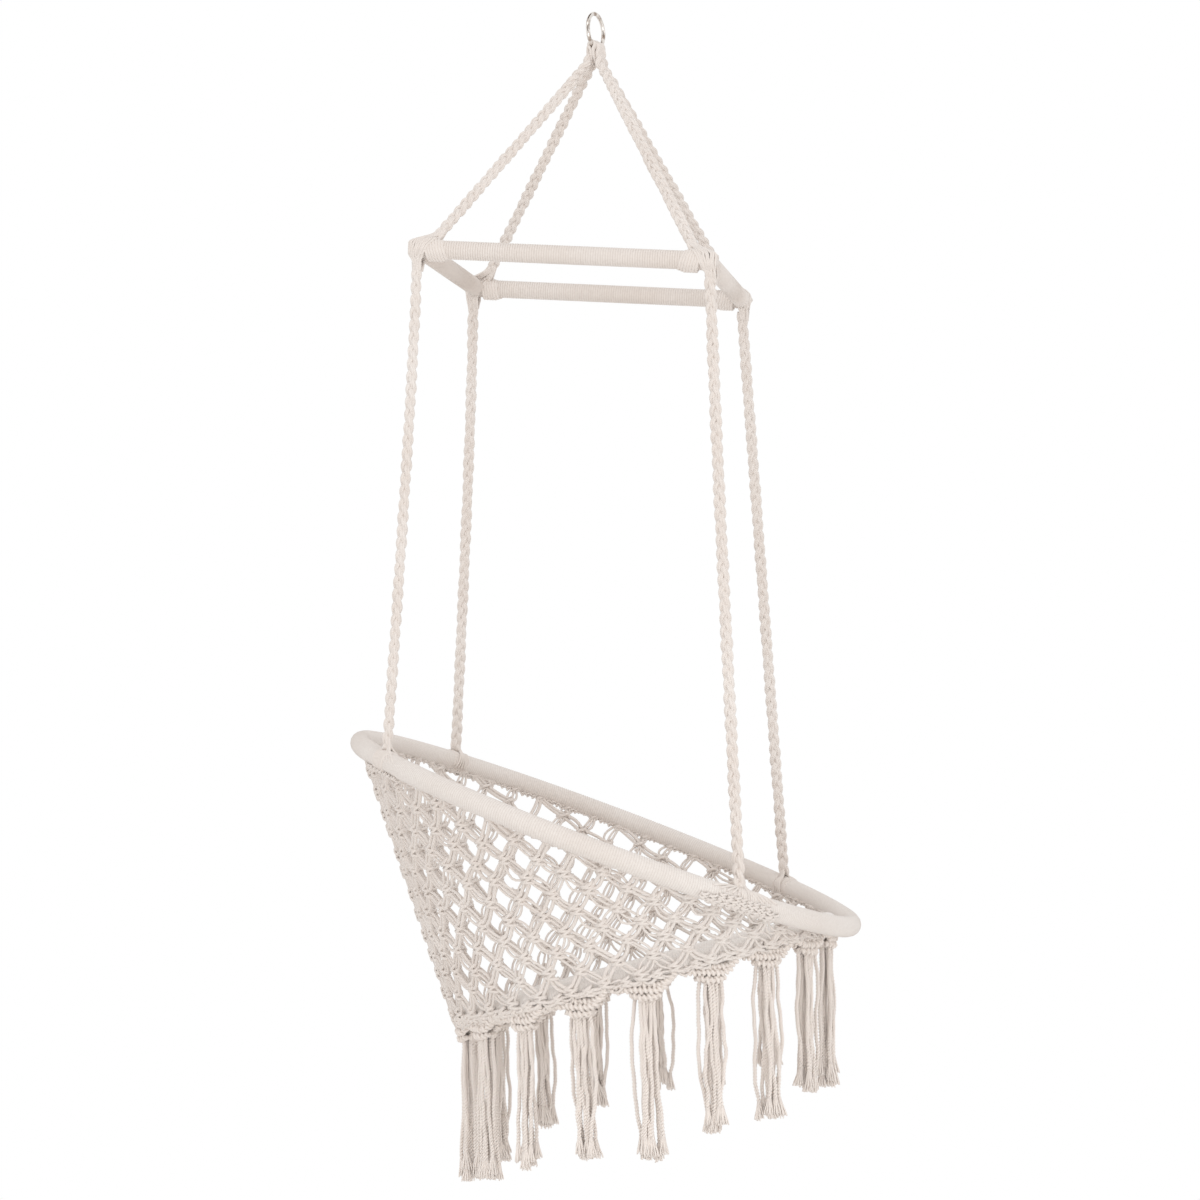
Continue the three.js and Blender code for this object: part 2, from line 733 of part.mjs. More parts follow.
// Tassels: a round gathering knot under the seat ring, and a skirt of cords that flares
function makeTassels() {
  const profile = [new THREE.Vector2(0, -tasselLength)];
  const skirtShares = [[1, 1], [0.92, 0.35], [0.85, 0.13]];
  skirtShares.forEach(([widthShare, dropShare]) => {
    profile.push(new THREE.Vector2(tasselFlareRadius * widthShare, -tasselLength * dropShare));
  });
  const neckAngle = Math.asin(tasselNeckRadius / tasselKnotRadius);
  for (let i = 0; i < tasselKnotRows; i += 1) {
    const angle = -Math.PI / 2 + neckAngle + (i / tasselKnotRows) * (Math.PI - neckAngle);
    profile.push(new THREE.Vector2(tasselKnotRadius * Math.cos(angle), tasselKnotRadius * Math.sin(angle)));
  }
  profile.push(new THREE.Vector2(0, tasselKnotRadius));
  for (let i = 0; i < tasselCount; i += 1) {
    const angle = netPhase + (i / tasselCount) * 2 * Math.PI;
    const tassel = new THREE.LatheGeometry(profile, tasselSides);
    tassel.rotateX(Math.PI / 2);
    const name = `tassel_${String(i + 1).padStart(2, '0')}`;
    const mesh = addPiece(name, tassel, cottonFinish());
    mesh.position.copy(tasselPivot(angle));
  }
}

makeHanger();
makeUpperRopes();
makeSpreader();
makeCornerLashings();
makeLowerRopes();
makeRing('hoop', hoop, hoopTube, hoopWrapRadius);
makeHoopKnots();
makeRing('seat_ring', seat, seatTube, seatWrapRadius);
makeSideNet();
makeSeatNet();
makeTassels();

export default chair;
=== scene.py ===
import bmesh
import bpy
import random
import numpy as np
from math import asin, atan2, cos, pi, radians, sin, sqrt, tan
from mathutils import Matrix, Vector


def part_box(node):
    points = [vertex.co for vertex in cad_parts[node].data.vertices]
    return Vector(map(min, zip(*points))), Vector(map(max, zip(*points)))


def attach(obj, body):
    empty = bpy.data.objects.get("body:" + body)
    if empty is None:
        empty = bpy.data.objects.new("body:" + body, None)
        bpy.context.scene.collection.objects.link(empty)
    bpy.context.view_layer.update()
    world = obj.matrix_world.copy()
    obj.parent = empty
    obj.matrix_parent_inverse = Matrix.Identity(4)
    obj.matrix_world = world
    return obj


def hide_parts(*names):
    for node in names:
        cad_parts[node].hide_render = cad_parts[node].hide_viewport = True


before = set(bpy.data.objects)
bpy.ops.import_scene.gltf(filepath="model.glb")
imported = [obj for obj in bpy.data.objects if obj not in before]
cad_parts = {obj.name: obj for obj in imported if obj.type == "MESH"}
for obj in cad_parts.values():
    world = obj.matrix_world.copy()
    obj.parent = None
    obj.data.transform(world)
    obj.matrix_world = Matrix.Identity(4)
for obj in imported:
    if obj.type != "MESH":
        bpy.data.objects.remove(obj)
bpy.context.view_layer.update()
dice = random.Random(11)
between = dice.uniform
scene = bpy.context.scene
scene.view_settings.view_transform = "Standard"
upward = Vector((0, 0, 1))
fullTurn = 2 * pi
print("chair: frame loaded")

photoView = {
    "place": (0.7968, -5.0818, -1.1345), "yaw": 0.1579, "pitch": 0.0507, "roll": -0.022,
    "lens": 104.56, "sensor": 36.0, "shift": 0.0012, "farthest": 60,
}


def makeCamera():
    data = bpy.data.cameras.new("photoCamera")
    data.lens = photoView["lens"]
    data.sensor_width = photoView["sensor"]
    data.shift_y = photoView["shift"]
    data.clip_end = photoView["farthest"]
    camera = bpy.data.objects.new("photoCamera", data)
    scene.collection.objects.link(camera)
    turn = Matrix.Rotation(photoView["yaw"], 4, "Z")
    tip = Matrix.Rotation(pi / 2 + photoView["pitch"], 4, "X")
    lean = Matrix.Rotation(photoView["roll"], 4, "Z")
    camera.matrix_world = Matrix.Translation(photoView["place"]) @ turn @ tip @ lean
    scene.camera = camera
    print("chair: camera set")


# Shapes that the whole chair hangs on, in metres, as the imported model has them
ringEye = {"radius": 0.026, "wire": 0.006, "drop": 0.023, "turn": radians(-17)}
wireWay = Matrix.Rotation(ringEye["turn"], 3, "Z") @ Vector((0, 1, 0))
acrossWire = Matrix.Rotation(ringEye["turn"], 3, "Z") @ Vector((1, 0, 0))
wireLow = Vector((0, 0, -ringEye["drop"] - ringEye["radius"]))  # the wire's middle, under the plaits
apex = Vector((0, 0, -0.058))  # where the lines of the four upper ropes meet
spreader = {
    "half": 0.208, "x": -0.022, "drop": 0.3876, "tilt": radians(5), "wrap": 0.01375,
    "inset": 0.009, "pitch": 0.0036,
}
spreaderTurn = Matrix.Rotation(spreader["tilt"], 3, "Y")
spreaderCentre = Vector((spreader["x"], 0, -spreader["drop"]))
barUp = spreaderTurn @ upward
pivots = {"gap": 0.00035, "cornerBall": 0.010, "hoopBall": 0.009}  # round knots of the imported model
hoopAngles = {-1: radians(140.2), 1: radians(49.4)}  # of the rear and the front knots
corners = {"rear_left": (-1, 1), "rear_right": (-1, -1), "front_left": (1, 1), "front_right": (1, -1)}


class TiltedRing:
    def __init__(self, radius, x, drop, tilt, wrap, pitch):
        self.radius = radius
        self.centre = Vector((x, 0, -drop))
        self.turn = Matrix.Rotation(radians(tilt), 3, "Y")
        self.up = self.turn @ upward
        self.wrap = wrap
        self.pitch = pitch

    def at(self, angle, outward=0.0, up=0.0):
        reach = self.radius + outward
        return self.turn @ Vector((reach * cos(angle), reach * sin(angle), up)) + self.centre

    def way(self, angle):
        return self.turn @ Vector((-sin(angle), cos(angle), 0))

    def outward(self, angle):
        return self.turn @ Vector((cos(angle), sin(angle), 0))

    def skin(self, angle, lean, lift=0.0):  # lean 0 is outward, a quarter turn is up
        reach = self.wrap + lift
        return self.at(angle, reach * cos(lean), reach * sin(lean))

    def leanOf(self, angle, direction):
        return atan2(direction.dot(self.up), direction.dot(self.outward(angle)))


hoop = TiltedRing(radius=0.384, x=-0.0113, drop=1.2138, tilt=21.9, wrap=0.01525, pitch=0.0036)
seat = TiltedRing(radius=0.274, x=0.0453, drop=1.4153, tilt=-13.5, wrap=0.0142, pitch=0.0042)


def spreaderPoint(x, y):
    return spreaderTurn @ Vector((x, y, 0)) + spreaderCentre


def cornerPoint(name, inward=0.0):
    x, y = corners[name]
    return spreaderPoint(x * (spreader["half"] - inward), y * spreader["half"])


def cornerPivot(name):
    return cornerPoint(name) - upward * (spreader["wrap"] + pivots["gap"] + pivots["cornerBall"])


def hoopAngle(name):
    x, y = corners[name]
    return y * hoopAngles[x]


def hoopPivot(name):
    angle = hoopAngle(name)
    centre = hoop.at(angle)
    way = (cornerPivot(name) - centre).normalized()
    slant = way.angle(hoop.way(angle))
    return centre + way * (hoop.wrap + pivots["gap"] + pivots["hoopBall"]) / sin(slant)


# Lines that cords follow
def shareOf(value, low, high):
    return min(1.0, max(0.0, (value - low) / (high - low)))


def shares(count):
    # Even shares from 0 to 1
    return [k / count for k in range(count + 1)]


def evenSteps(points, step):
    lengths = [0.0]
    for a, b in zip(points, points[1:]):
        lengths.append(lengths[-1] + (b - a).length)
    count = max(2, round(lengths[-1] / step))
    result = []
    i = 0
    for k in range(count + 1):
        target = lengths[-1] * k / count
        while i < len(points) - 2 and lengths[i + 1] < target:
            i += 1
        span = lengths[i + 1] - lengths[i]
        result.append(points[i].lerp(points[i + 1], (target - lengths[i]) / span if span else 0))
    return result


def smoothPath(points, step, fine=8):
    ends = [points[0] * 2 - points[1], *points, points[-1] * 2 - points[-2]]
    rough = []
    for a, b, c, d in zip(ends, ends[1:], ends[2:], ends[3:]):
        for k in range(fine):
            t = k / fine
            bend = (a * 2 - b * 5 + c * 4 - d) * t * t + (b * 3 - a - c * 3 + d) * t ** 3
            rough.append((b * 2 + (c - a) * t + bend) / 2)
    rough.append(points[-1])
    return evenSteps(rough, step)


def pathLength(points):
    return sum((b - a).length for a, b in zip(points, points[1:]))


def directions(points):
    # The way that a line runs at each of its points
    return [(b - a).normalized() for a, b in zip([points[0], *points], [*points[1:], points[-1]])]


# Pieces: every run is one cord, a list of points or of (point, share of the thickness)
endBulge = 0.12  # how far a closed end stands out, as a share of the thickness


def closeEnds(run, thickness):
    knots = [entry if isinstance(entry, tuple) else (entry, 1.0) for entry in run]
    first = knots[0][0] - (knots[1][0] - knots[0][0]).normalized() * thickness * endBulge
    last = knots[-1][0] + (knots[-1][0] - knots[-2][0]).normalized() * thickness * endBulge
    return [(first, 0.0), *knots, (last, 0.0)]


def meshFrom(shape, name):
    mesh = bpy.data.meshes.new(name)
    shape.to_mesh(mesh)
    shape.free()
    return mesh


def linkMesh(name, mesh, material):
    mesh.materials.clear()
    mesh.materials.append(material)
    piece = bpy.data.objects.new(name, mesh)
    scene.collection.objects.link(piece)
    return piece


def addPiece(name, mesh, finish, body, replaced=None):
    mesh.shade_smooth()
    piece = linkMesh(name, mesh, finishes[finish])
    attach(piece, body)
    if replaced:
        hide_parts(replaced)
    return piece


def stretchUvs(mesh, spans, sides):
    # U goes along each cord in metres, and V round it from 0 to 1
    layer = mesh.uv_layers[0].data
    values = np.zeros(len(layer) * 2, np.float32)
    layer.foreach_get("uv", values)
    values[0::2] *= np.concatenate([np.full(count * sides * 4, length) for count, length in spans])
    layer.foreach_set("uv", values)


def makeCords(name, runs, thickness, finish, body, replaced=None, sides=6, endless=False):
    data = bpy.data.curves.new(name, "CURVE")
    data.dimensions = "3D"
    data.bevel_depth = thickness / 2
    data.bevel_resolution = sides // 2 - 2
    spans = []
    for run in runs:
        knots = run if endless else closeEnds(run, thickness)
        spline = data.splines.new("POLY")
        spline.points.add(len(knots) - 1)
        spline.use_cyclic_u = endless
        spline.points.foreach_set("co", [c for point, _ in knots for c in (*point, 1)])
        spline.points.foreach_set("radius", [share for _, share in knots])
        spans.append((len(knots) if endless else len(knots) - 1, pathLength([p for p, _ in knots])))
    line = bpy.data.objects.new(name + "_line", data)
    scene.collection.objects.link(line)
    mesh = bpy.data.meshes.new_from_object(line.evaluated_get(bpy.context.evaluated_depsgraph_get()))
    bpy.data.objects.remove(line)
    stretchUvs(mesh, spans, sides)
    shape = bmesh.new()
    shape.from_mesh(mesh)
    bmesh.ops.remove_doubles(shape, verts=shape.verts, dist=1e-6)
    shape.to_mesh(mesh)
    shape.free()
    return addPiece(name, mesh, finish, body, replaced)


# Shader values: sums on them add Math nodes
def ordered(operation):
    return lambda self, more: self.maths(operation, self, more)


def reflected(operation):
    return lambda self, more: self.maths(operation, more, self)


class Value:
    def __init__(self, tree, socket=None):
        self.tree = tree
        self.socket = socket

    def node(self, kind, inputs=None, output=0, **settings):
        made = self.tree.nodes.new(kind)
        for setting, value in settings.items():
            setattr(made, setting, value)
        for place, value in (inputs or {}).items():
            if isinstance(value, Value):
                self.tree.links.new(value.socket, made.inputs[place])
            else:
                made.inputs[place].default_value = value
        return Value(self.tree, made.outputs[output])

    def other(self, output):
        return Value(self.tree, self.socket.node.outputs[output])

    def maths(self, operation, *values):
        return self.node("ShaderNodeMath", dict(enumerate(values)), operation=operation)

    __add__ = ordered("ADD")
    __radd__ = reflected("ADD")
    __sub__ = ordered("SUBTRACT")
    __rsub__ = reflected("SUBTRACT")
    __mul__ = ordered("MULTIPLY")
    __rmul__ = reflected("MULTIPLY")
    __truediv__ = ordered("DIVIDE")
    __rtruediv__ = reflected("DIVIDE")
    __pow__ = ordered("POWER")

    def __abs__(self):
        return self.maths("ABSOLUTE", self)


def tint(red, green, blue):
    def linear(level):
        share = level / 255
        return share / 12.92 if share <= 0.04045 else ((share + 0.055) / 1.055) ** 2.4
    return (linear(red), linear(green), linear(blue), 1.0)


def newFinish(name, constants):
    material = bpy.data.materials.new(name)
    material.use_nodes = True
    shader = material.node_tree.nodes["Principled BSDF"]
    for place, value in constants.items():
        shader.inputs[place].default_value = value
    start = Value(material.node_tree)
    return material, shader, start, start.node("ShaderNodeTexCoord", output="Object")


def feed(shader, place, value):
    value.tree.links.new(value.socket, shader.inputs[place])


def noise(place, scale, detail):
    return place.node("ShaderNodeTexNoise", {"Vector": place, "Scale": scale, "Detail": detail})


def ramp(value, low, high, first=0.0, last=1.0):
    return value.node("ShaderNodeMapRange", {
        "Value": value, "From Min": low, "From Max": high, "To Min": first, "To Max": last,
    })


def blend(share, low, high):
    return share.node("ShaderNodeMix", {"Factor": share, "A": low, "B": high}, "Result", data_type="RGBA")


def raiseBy(shader, height, strength, distance):
    feed(shader, "Normal", height.node("ShaderNodeBump", {
        "Strength": strength, "Distance": distance, "Height": height,
    }, "Normal"))


def nearWhole(value):
    # 1 at whole numbers, 0 halfway between them
    return abs(value.maths("FRACT", value) - 0.5) * 2


cotton = {
    "light": tint(229, 223, 218), "warm": tint(233, 224, 217), "mid": tint(220, 211, 204),
    "deep": tint(176, 160, 148), "sheen": {"Sheen Weight": 0.2, "Sheen Roughness": 0.6},
    "fuzz": 1500, "patch": 7, "grain": 320.0, "lay": 0.011, "bump": 0.6,
}


def alongCord(start):
    # Metres along the cord; the same node's output Y goes round it, from 0 to 1
    return start.node("ShaderNodeSeparateXYZ", {"Vector": start.node("ShaderNodeUVMap", uv_map="UVMap")})


def cottonBase(place, crest, tone, contrast):
    # Soft patches of two cotton colours; a higher tone is darker all over
    patch = noise(place, cotton["patch"], 3.0)
    return blend(ramp(patch, 0.35, 0.7, tone, tone + contrast), cotton[crest], cotton["mid"])


def cordFinish(name, lay, plies, tone, paintedGrooveShade=0.0, relief=0.0005, crest="light"):
    # Twisted cotton cord: plies wind round it, with fine fuzz on them, and painted shade darkens the
    # grooves between the plies
    material, shader, start, place = newFinish(name, {"Roughness": 0.95, **cotton["sheen"]})
    along = alongCord(start)
    groove = nearWhole((along / lay + along.other("Y")) * plies)
    fuzz = noise(place, cotton["fuzz"], 2.0)
    # Painted shade in the grooves between plies, plus fuzz that darkens the fibres at random
    shade = groove ** 4 * paintedGrooveShade + fuzz * 0.08
    feed(shader, "Base Color", blend(shade, cottonBase(place, crest, tone, 0.7), cotton["deep"]))
    raiseBy(shader, (1 - groove ** 2) * 0.8 + fuzz * 0.25, cotton["bump"], relief)
    return material


def woundFinish(name, pitch, wrap, tone, paintedValleyShade, paintedShade=0.0, relief=0.0005):
    # Cord wound side by side: the run goes along the tube, and each turn of cord goes round it. The valleys
    # between turns and the grooves between plies are darkened as painted shade.
    material, shader, start, place = newFinish(name, {"Roughness": 0.94, **cotton["sheen"]})
    along = alongCord(start)
    turns = along / pitch
    crown = nearWhole(turns)
    groove = nearWhole((along.other("Y") * (fullTurn * wrap / cotton["lay"]) + turns * 0.5) * 3)
    fuzz = noise(place, cotton["fuzz"], 2.0)
    grain = noise(place, cotton["grain"], 2.0)
    # Painted shade in the valleys between turns and the grooves between plies; fuzz and grain are fibre
    # tone; a positive last term paints shade over the whole winding, a negative one paints light
    shade = (1 - crown) ** 3 * paintedValleyShade + groove ** 4 * 0.15 + fuzz * 0.1 + (grain - 0.35) * 0.36 + paintedShade
    feed(shader, "Base Color", blend(shade, cottonBase(place, "light", tone, 0.6), cotton["deep"]))
    height = crown ** 0.5 * 0.8 + (1 - groove ** 2) * 0.25 + fuzz * 0.2 + grain * 0.3
    raiseBy(shader, height, cotton["bump"], relief)
    return material


def chromeFinish():
    # Plated wire; brown patches in its colour are painted dark reflections, and the same patches are
    # rougher
    material, shader, _, place = newFinish("platedSteel", {"Metallic": 1.0})
    cloud = noise(place, 90.0, 3.0)
    pits = noise(place, 1900.0, 2.0)
    # The darker brown patches are painted reflections of dark surroundings
    feed(shader, "Base Color", blend(ramp(cloud, 0.42, 0.6), tint(226, 220, 214), tint(158, 141, 128)))
    feed(shader, "Roughness", cloud * 0.15 + 0.12)
    raiseBy(shader, pits + cloud, 0.25, 0.0002)
    return material


def tubeFinish():
    # Plain drawn steel tube under the windings, with faint lines and a little oxide
    material, shader, _, place = newFinish("drawnSteel", {"Metallic": 1.0})
    rust = noise(place, 22.0, 6.0)
    feed(shader, "Base Color", blend(rust ** 2, tint(150, 152, 154), tint(104, 98, 93)))
    feed(shader, "Roughness", rust * 0.3 + 0.3)
    raiseBy(shader, noise(place, 700.0, 2.0), 0.3, 0.0002)
    return material


finishes = {
    "plait": cordFinish("plaitedCotton", lay=0.03, plies=2, tone=0.5, paintedGrooveShade=0.1, relief=0.0003),
    "net": cordFinish("netCotton", lay=0.015, plies=3, tone=0.55, paintedGrooveShade=0.25),
    "seatNet": cordFinish("seatCotton", lay=0.015, plies=3, tone=0.0, paintedGrooveShade=0.2, crest="warm"),
    # The low tone of the tassels and their frayed ends is painted light: a lighter cotton makes up for the
    # dimmer light and self-shadow there
    "tassel": cordFinish("tasselCotton", lay=0.0095, plies=2, tone=-0.6, paintedGrooveShade=0.12, crest="warm"),
    "frayed": cordFinish("frayedCotton", lay=0.03, plies=1, tone=-0.6, relief=0.0002, crest="warm"),
    "barWinding": woundFinish("barWinding", spreader["pitch"], spreader["wrap"], tone=0.5, paintedValleyShade=0.42),
    # The rear bar winding is a darker copy of the bar winding: its higher tone and extra darkening are
    # painted shade
    "rearWinding": woundFinish(
        "rearBarWinding", spreader["pitch"], spreader["wrap"], tone=0.8, paintedValleyShade=0.35, paintedShade=0.24,
    ),
    "hoopWinding": woundFinish("hoopWinding", hoop.pitch, hoop.wrap, tone=0.0, paintedValleyShade=0.34),
    # The seat ring winding is a lighter copy of the cotton: its low tone and negative darkening are painted
    # light against the net's shadow on it
    "seatWinding": woundFinish(
        "seatWinding", seat.pitch, seat.wrap, tone=-0.3, paintedValleyShade=0.12, paintedShade=-0.15, relief=0.0006,
    ),
    "chrome": chromeFinish(),
    "tube": tubeFinish(),
}
print("chair: finishes mixed")

plait = {
    "width": 0.0178, "depth": 0.0026, "cord": 0.0052, "spread": 0.0022, "step": 0.0036,
    "upper": 0.049, "lower": 0.0555, "twist": 0.15, "strands": 3, "cords": 4,
    "narrower": {"rear_right": 0.84, "rear_left": 0.95},
}


def plaitRuns(path, flatAt, start, period, squeeze):
    # Strands of several cords each, crossing over each other in turn
    runs = [[] for _ in range(plait["strands"] * plait["cords"])]
    travelled = start
    sway = plait["width"] / 2 - plait["spread"] - plait["cord"] / 2
    for i, (point, along) in enumerate(zip(path, directions(path))):
        flatWay = flatAt(point)
        side = (flatWay - along * flatWay.dot(along)).normalized()
        deep = along.cross(side)
        travelled += (point - path[i - 1]).length if i else 0
        flat, thin = squeeze(point)
        loose = 1 + 0.1 * sin(travelled * 61 + start * 900)
        for strand in range(plait["strands"]):
            turn = fullTurn * (travelled / period + strand / plait["strands"])
            centre = side * sway * flat * loose * sin(turn)
            centre += deep * plait["depth"] * thin * sin(2 * turn)
            for part in range(plait["cords"]):
                roll = fullTurn * (travelled / plait["twist"] + part / plait["cords"] + strand * 0.21)
                cord = side * cos(roll) * flat + deep * sin(roll) * thin
                runs[strand * plait["cords"] + part].append(point + centre + cord * plait["spread"])
    return runs


def makeRope(level, name, runs, line, body, every):
    piece = makeCords(
        f"rope_{level}_{name}", runs, plait["cord"], "plait", body, f"{level}_rope_{name}",
    )
    pathLength(line)
    line[::every] + [line[-1]]


neck = {
    "leg": 0.042, "apart": 0.0062, "bight": 0.0078, "waist": 0.0074, "tie": 0.0046,
    "stations": (0.09, 0.045, 0.02), "shorter": 0.016, "shift": 0.01,
    "ties": (-0.0150, -0.0122, 0.0122, 0.0150),
}


def footWay(name):
    foot = cornerPoint(name, spreader["inset"])
    return foot, (foot - apex).normalized()


def neckLeg(name, offset, across):
    # Places on an upper rope, from its foot to the side of the wire
    foot, way = footWay(name)
    low, middle, high = neck["stations"]
    return [
        foot - way * neck["shorter"],
        apex + way * low,
        apex + way * middle,
        apex + way * high + offset * 0.4,
        apex + offset * 0.9 + acrossWire * neck["waist"] * across,
    ]


def neckPath(side, sideName):
    # From the rear corner up over the wire of the ring and down to the front corner
    offset = wireWay * neck["apart"] * side
    over = []
    for share in shares(6):
        turn = pi * share
        over.append(wireLow + offset + (upward * sin(turn) - acrossWire * cos(turn)) * neck["bight"])
    rear = neckLeg(f"rear_{sideName}", offset, -1)
    front = neckLeg(f"front_{sideName}", offset, 1)
    return smoothPath([*rear, *over, *front[::-1]], plait["step"])


def neckSqueeze(point):
    share = shareOf((wireLow - point).length, 0.01, 0.024)
    return 0.92 + 0.08 * share, 0.3 + 0.7 * share


def neckFace(point):
    # A plait lies flat along the ring's wire, and has turned its face to the side lower down
    away = (point - apex).length if point.z < apex.z else 0.0
    share = shareOf(away, 0.025, 0.125)
    turn = share * share * (3 - 2 * share) * pi / 2
    return wireWay * cos(turn) + acrossWire * sin(turn)


def neckTies():
    # Single cords lie over the wire beside the plaits, and close the eye under it
    runs = []
    for along in neck["ties"]:
        rise = ringEye["radius"] - sqrt(ringEye["radius"] ** 2 - along ** 2)
        wire = wireLow + upward * rise + wireWay * along
        under = apex + wireWay * along
        legs = []
        for side in (-1, 1):
            across = acrossWire * side
            legs.append([
                under - upward * 0.016 - wireWay * along * 0.5 + across * 0.0040,
                under - upward * 0.004 - wireWay * along * 0.15 + across * 0.0020,
                wire - upward * 0.0075 + across * 0.0021,
                wire - upward * 0.0010 + across * 0.0050,
            ])
        over = wire + upward * 0.0052
        runs.append(smoothPath([*legs[0], over, *legs[1][::-1]], 0.0022))
    return runs


def makeUpperRopes():
    # One plait lies over the ring on each side; its two ends are the ropes to a rear and a front corner
    neckRuns = []
    for side, sideName in ((1, "left"), (-1, "right")):
        path = neckPath(side, sideName)
        runs = plaitRuns(path, neckFace, neck["shift"] * side, plait["upper"], neckSqueeze)
        below = [(point - apex).length > neck["leg"] and point.z < apex.z for point in path]
        top = max(range(len(path)), key=lambda i: path[i].z)
        first = next(i for i in range(top, -1, -1) if below[i])
        last = next(i for i in range(top, len(path)) if below[i])
        neckRuns += [run[first - 1:last + 2] for run in runs]
        for end, part, way in (("rear", slice(0, first + 1), -1), ("front", slice(last, None), 1)):
            cut = [run[part] for run in runs]
            makeRope("upper", f"{end}_{sideName}", cut, path[part][::way], "spreader", 4)
    makeCords("neck_plaits", neckRuns, plait["cord"], "plait", "spreader", "cord_bundle")
    makeCords("neck_ties", neckTies(), neck["tie"], "plait", "spreader")
    print("chair: upper ropes plaited")


lowerRope = {
    "above": 0.005, "below": 0.008, "turned": 0.35,
    "shift": {"rear_left": 0.0056, "rear_right": 0.0056, "front_left": 0.0, "front_right": 0.0040},
}


def makeLowerRopes():
    for name, (x, y) in corners.items():
        top, bottom = cornerPivot(name), hoopPivot(name)
        way = (bottom - top).normalized()
        straight = [top - way * lowerRope["above"], bottom + way * lowerRope["below"]]
        path = evenSteps(straight, plait["step"])
        for point, share in zip(path, shares(len(path) - 1)):
            point.x += x * lowerRope["shift"][name] * (1 - share) ** 4
        flatWay = Vector((1, lowerRope["turned"] * y, 0))
        narrower = plait["narrower"].get(name, 1.0)
        start = 0.012 * (x + 2 * y)  # no two ropes cross their strands at the same height
        runs = plaitRuns(path, lambda point: flatWay, start, plait["lower"], lambda point: (narrower, 1.0))
        makeRope("lower", name, runs, path, "front_ropes" if x > 0 else "rear_ropes", 6)
    print("chair: lower ropes plaited")


def makeHangingRing():
    shape = bmesh.new()
    section = bmesh.ops.create_circle(
        shape, segments=20, radius=ringEye["wire"] / 2,
        matrix=Matrix.Translation((0, ringEye["radius"], 0)),
    )
    edges = list({edge for vert in section["verts"] for edge in vert.link_edges})
    bmesh.ops.spin(
        shape, geom=section["verts"] + edges, cent=(0, 0, 0), axis=(1, 0, 0),
        angle=fullTurn, steps=72, use_merge=True,
    )
    bmesh.ops.recalc_face_normals(shape, faces=shape.faces)
    turn = Matrix.Rotation(ringEye["turn"], 4, "Z")
    bmesh.ops.transform(
        shape, verts=shape.verts, space=Matrix.Identity(4),
        matrix=Matrix.Translation((0, 0, -ringEye["drop"])) @ turn,
    )
    addPiece("ring_wire", meshFrom(shape, "ring_wire"), "chrome", "hanger", "hanging_ring")
    print("chair: ring made")


saddle = {"cord": 0.0017, "lift": 0.0011, "reach": radians(28), "turns": 15, "perTurn": 10}


def makeSaddle():
    # Thin cord wound on the ring's wire, under the plaits
    points = []
    for share in shares(saddle["turns"] * saddle["perTurn"]):
        angle = saddle["reach"] * (2 * share - 1)
        outward = wireWay * sin(angle) - upward * cos(angle)
        spin = fullTurn * share * saddle["turns"]
        around = outward * cos(spin) + acrossWire * sin(spin)
        wire = outward * ringEye["radius"] - upward * ringEye["drop"]
        points.append(wire + around * (ringEye["wire"] / 2 + saddle["lift"]))
    makeCords("saddle_cord", [points], saddle["cord"], "net", "saddle", "cord_saddle")
    print("chair: saddle wound")


# A turn of wound cord has four stations: valley, flank, crown and flank
turnShares = (0.945, 0.982, 1.0, 0.982)
barEnd = {"past": 0.0004, "rounding": 0.0006, "power": 3.4, "short": 0.0003}


def roundedEnd(past):
    # Share of the full radius left at a distance past the corner's centre
    reach = spreader["wrap"] + barEnd["rounding"]
    return max(0.0, 1 - (max(0.0, past) / reach) ** barEnd["power"]) ** (1 / barEnd["power"])


def woundRun(path, pitch):
    return [(point, turnShares[i % 4]) for i, point in enumerate(evenSteps(path, pitch / 4))]


def makeSpreaderWraps():
    half, wrap = spreader["half"], spreader["wrap"]
    side = half + wrap + barEnd["past"]
    cross = half - wrap - barEnd["short"]
    for name, start, end, finish in (
        ("left", (-side, half), (side, half), "barWinding"),
        ("right", (-side, -half), (side, -half), "barWinding"),
        ("rear", (-half, -cross), (-half, cross), "rearWinding"),
        ("front", (half, -cross), (half, cross), "barWinding"),
    ):
        run = []
        for point, share in woundRun([spreaderPoint(*start), spreaderPoint(*end)], spreader["pitch"]):
            along = (spreaderTurn.inverted() @ (point - spreaderCentre)).x
            run.append((point, share * roundedEnd(abs(along) - half)))
        makeCords(
            f"bar_winding_{name}", [run], wrap * 2, finish, "spreader",
            f"spreader_wrap_{name}", sides=14,
        )
    print("chair: spreader wound")


def makeRingWraps():
    for name, ring, finish in (("hoop", hoop, "hoopWinding"), ("seat_ring", seat, "seatWinding")):
        count = round(fullTurn * ring.radius / ring.pitch) * 4
        run = [(ring.at(fullTurn * k / count), turnShares[k % 4]) for k in range(count)]
        makeCords(
            f"{name}_winding", [run], ring.wrap * 2, finish, "seat",
            f"{name}_wrap", sides=16, endless=True,
        )
    print("chair: hoop and seat ring wound")


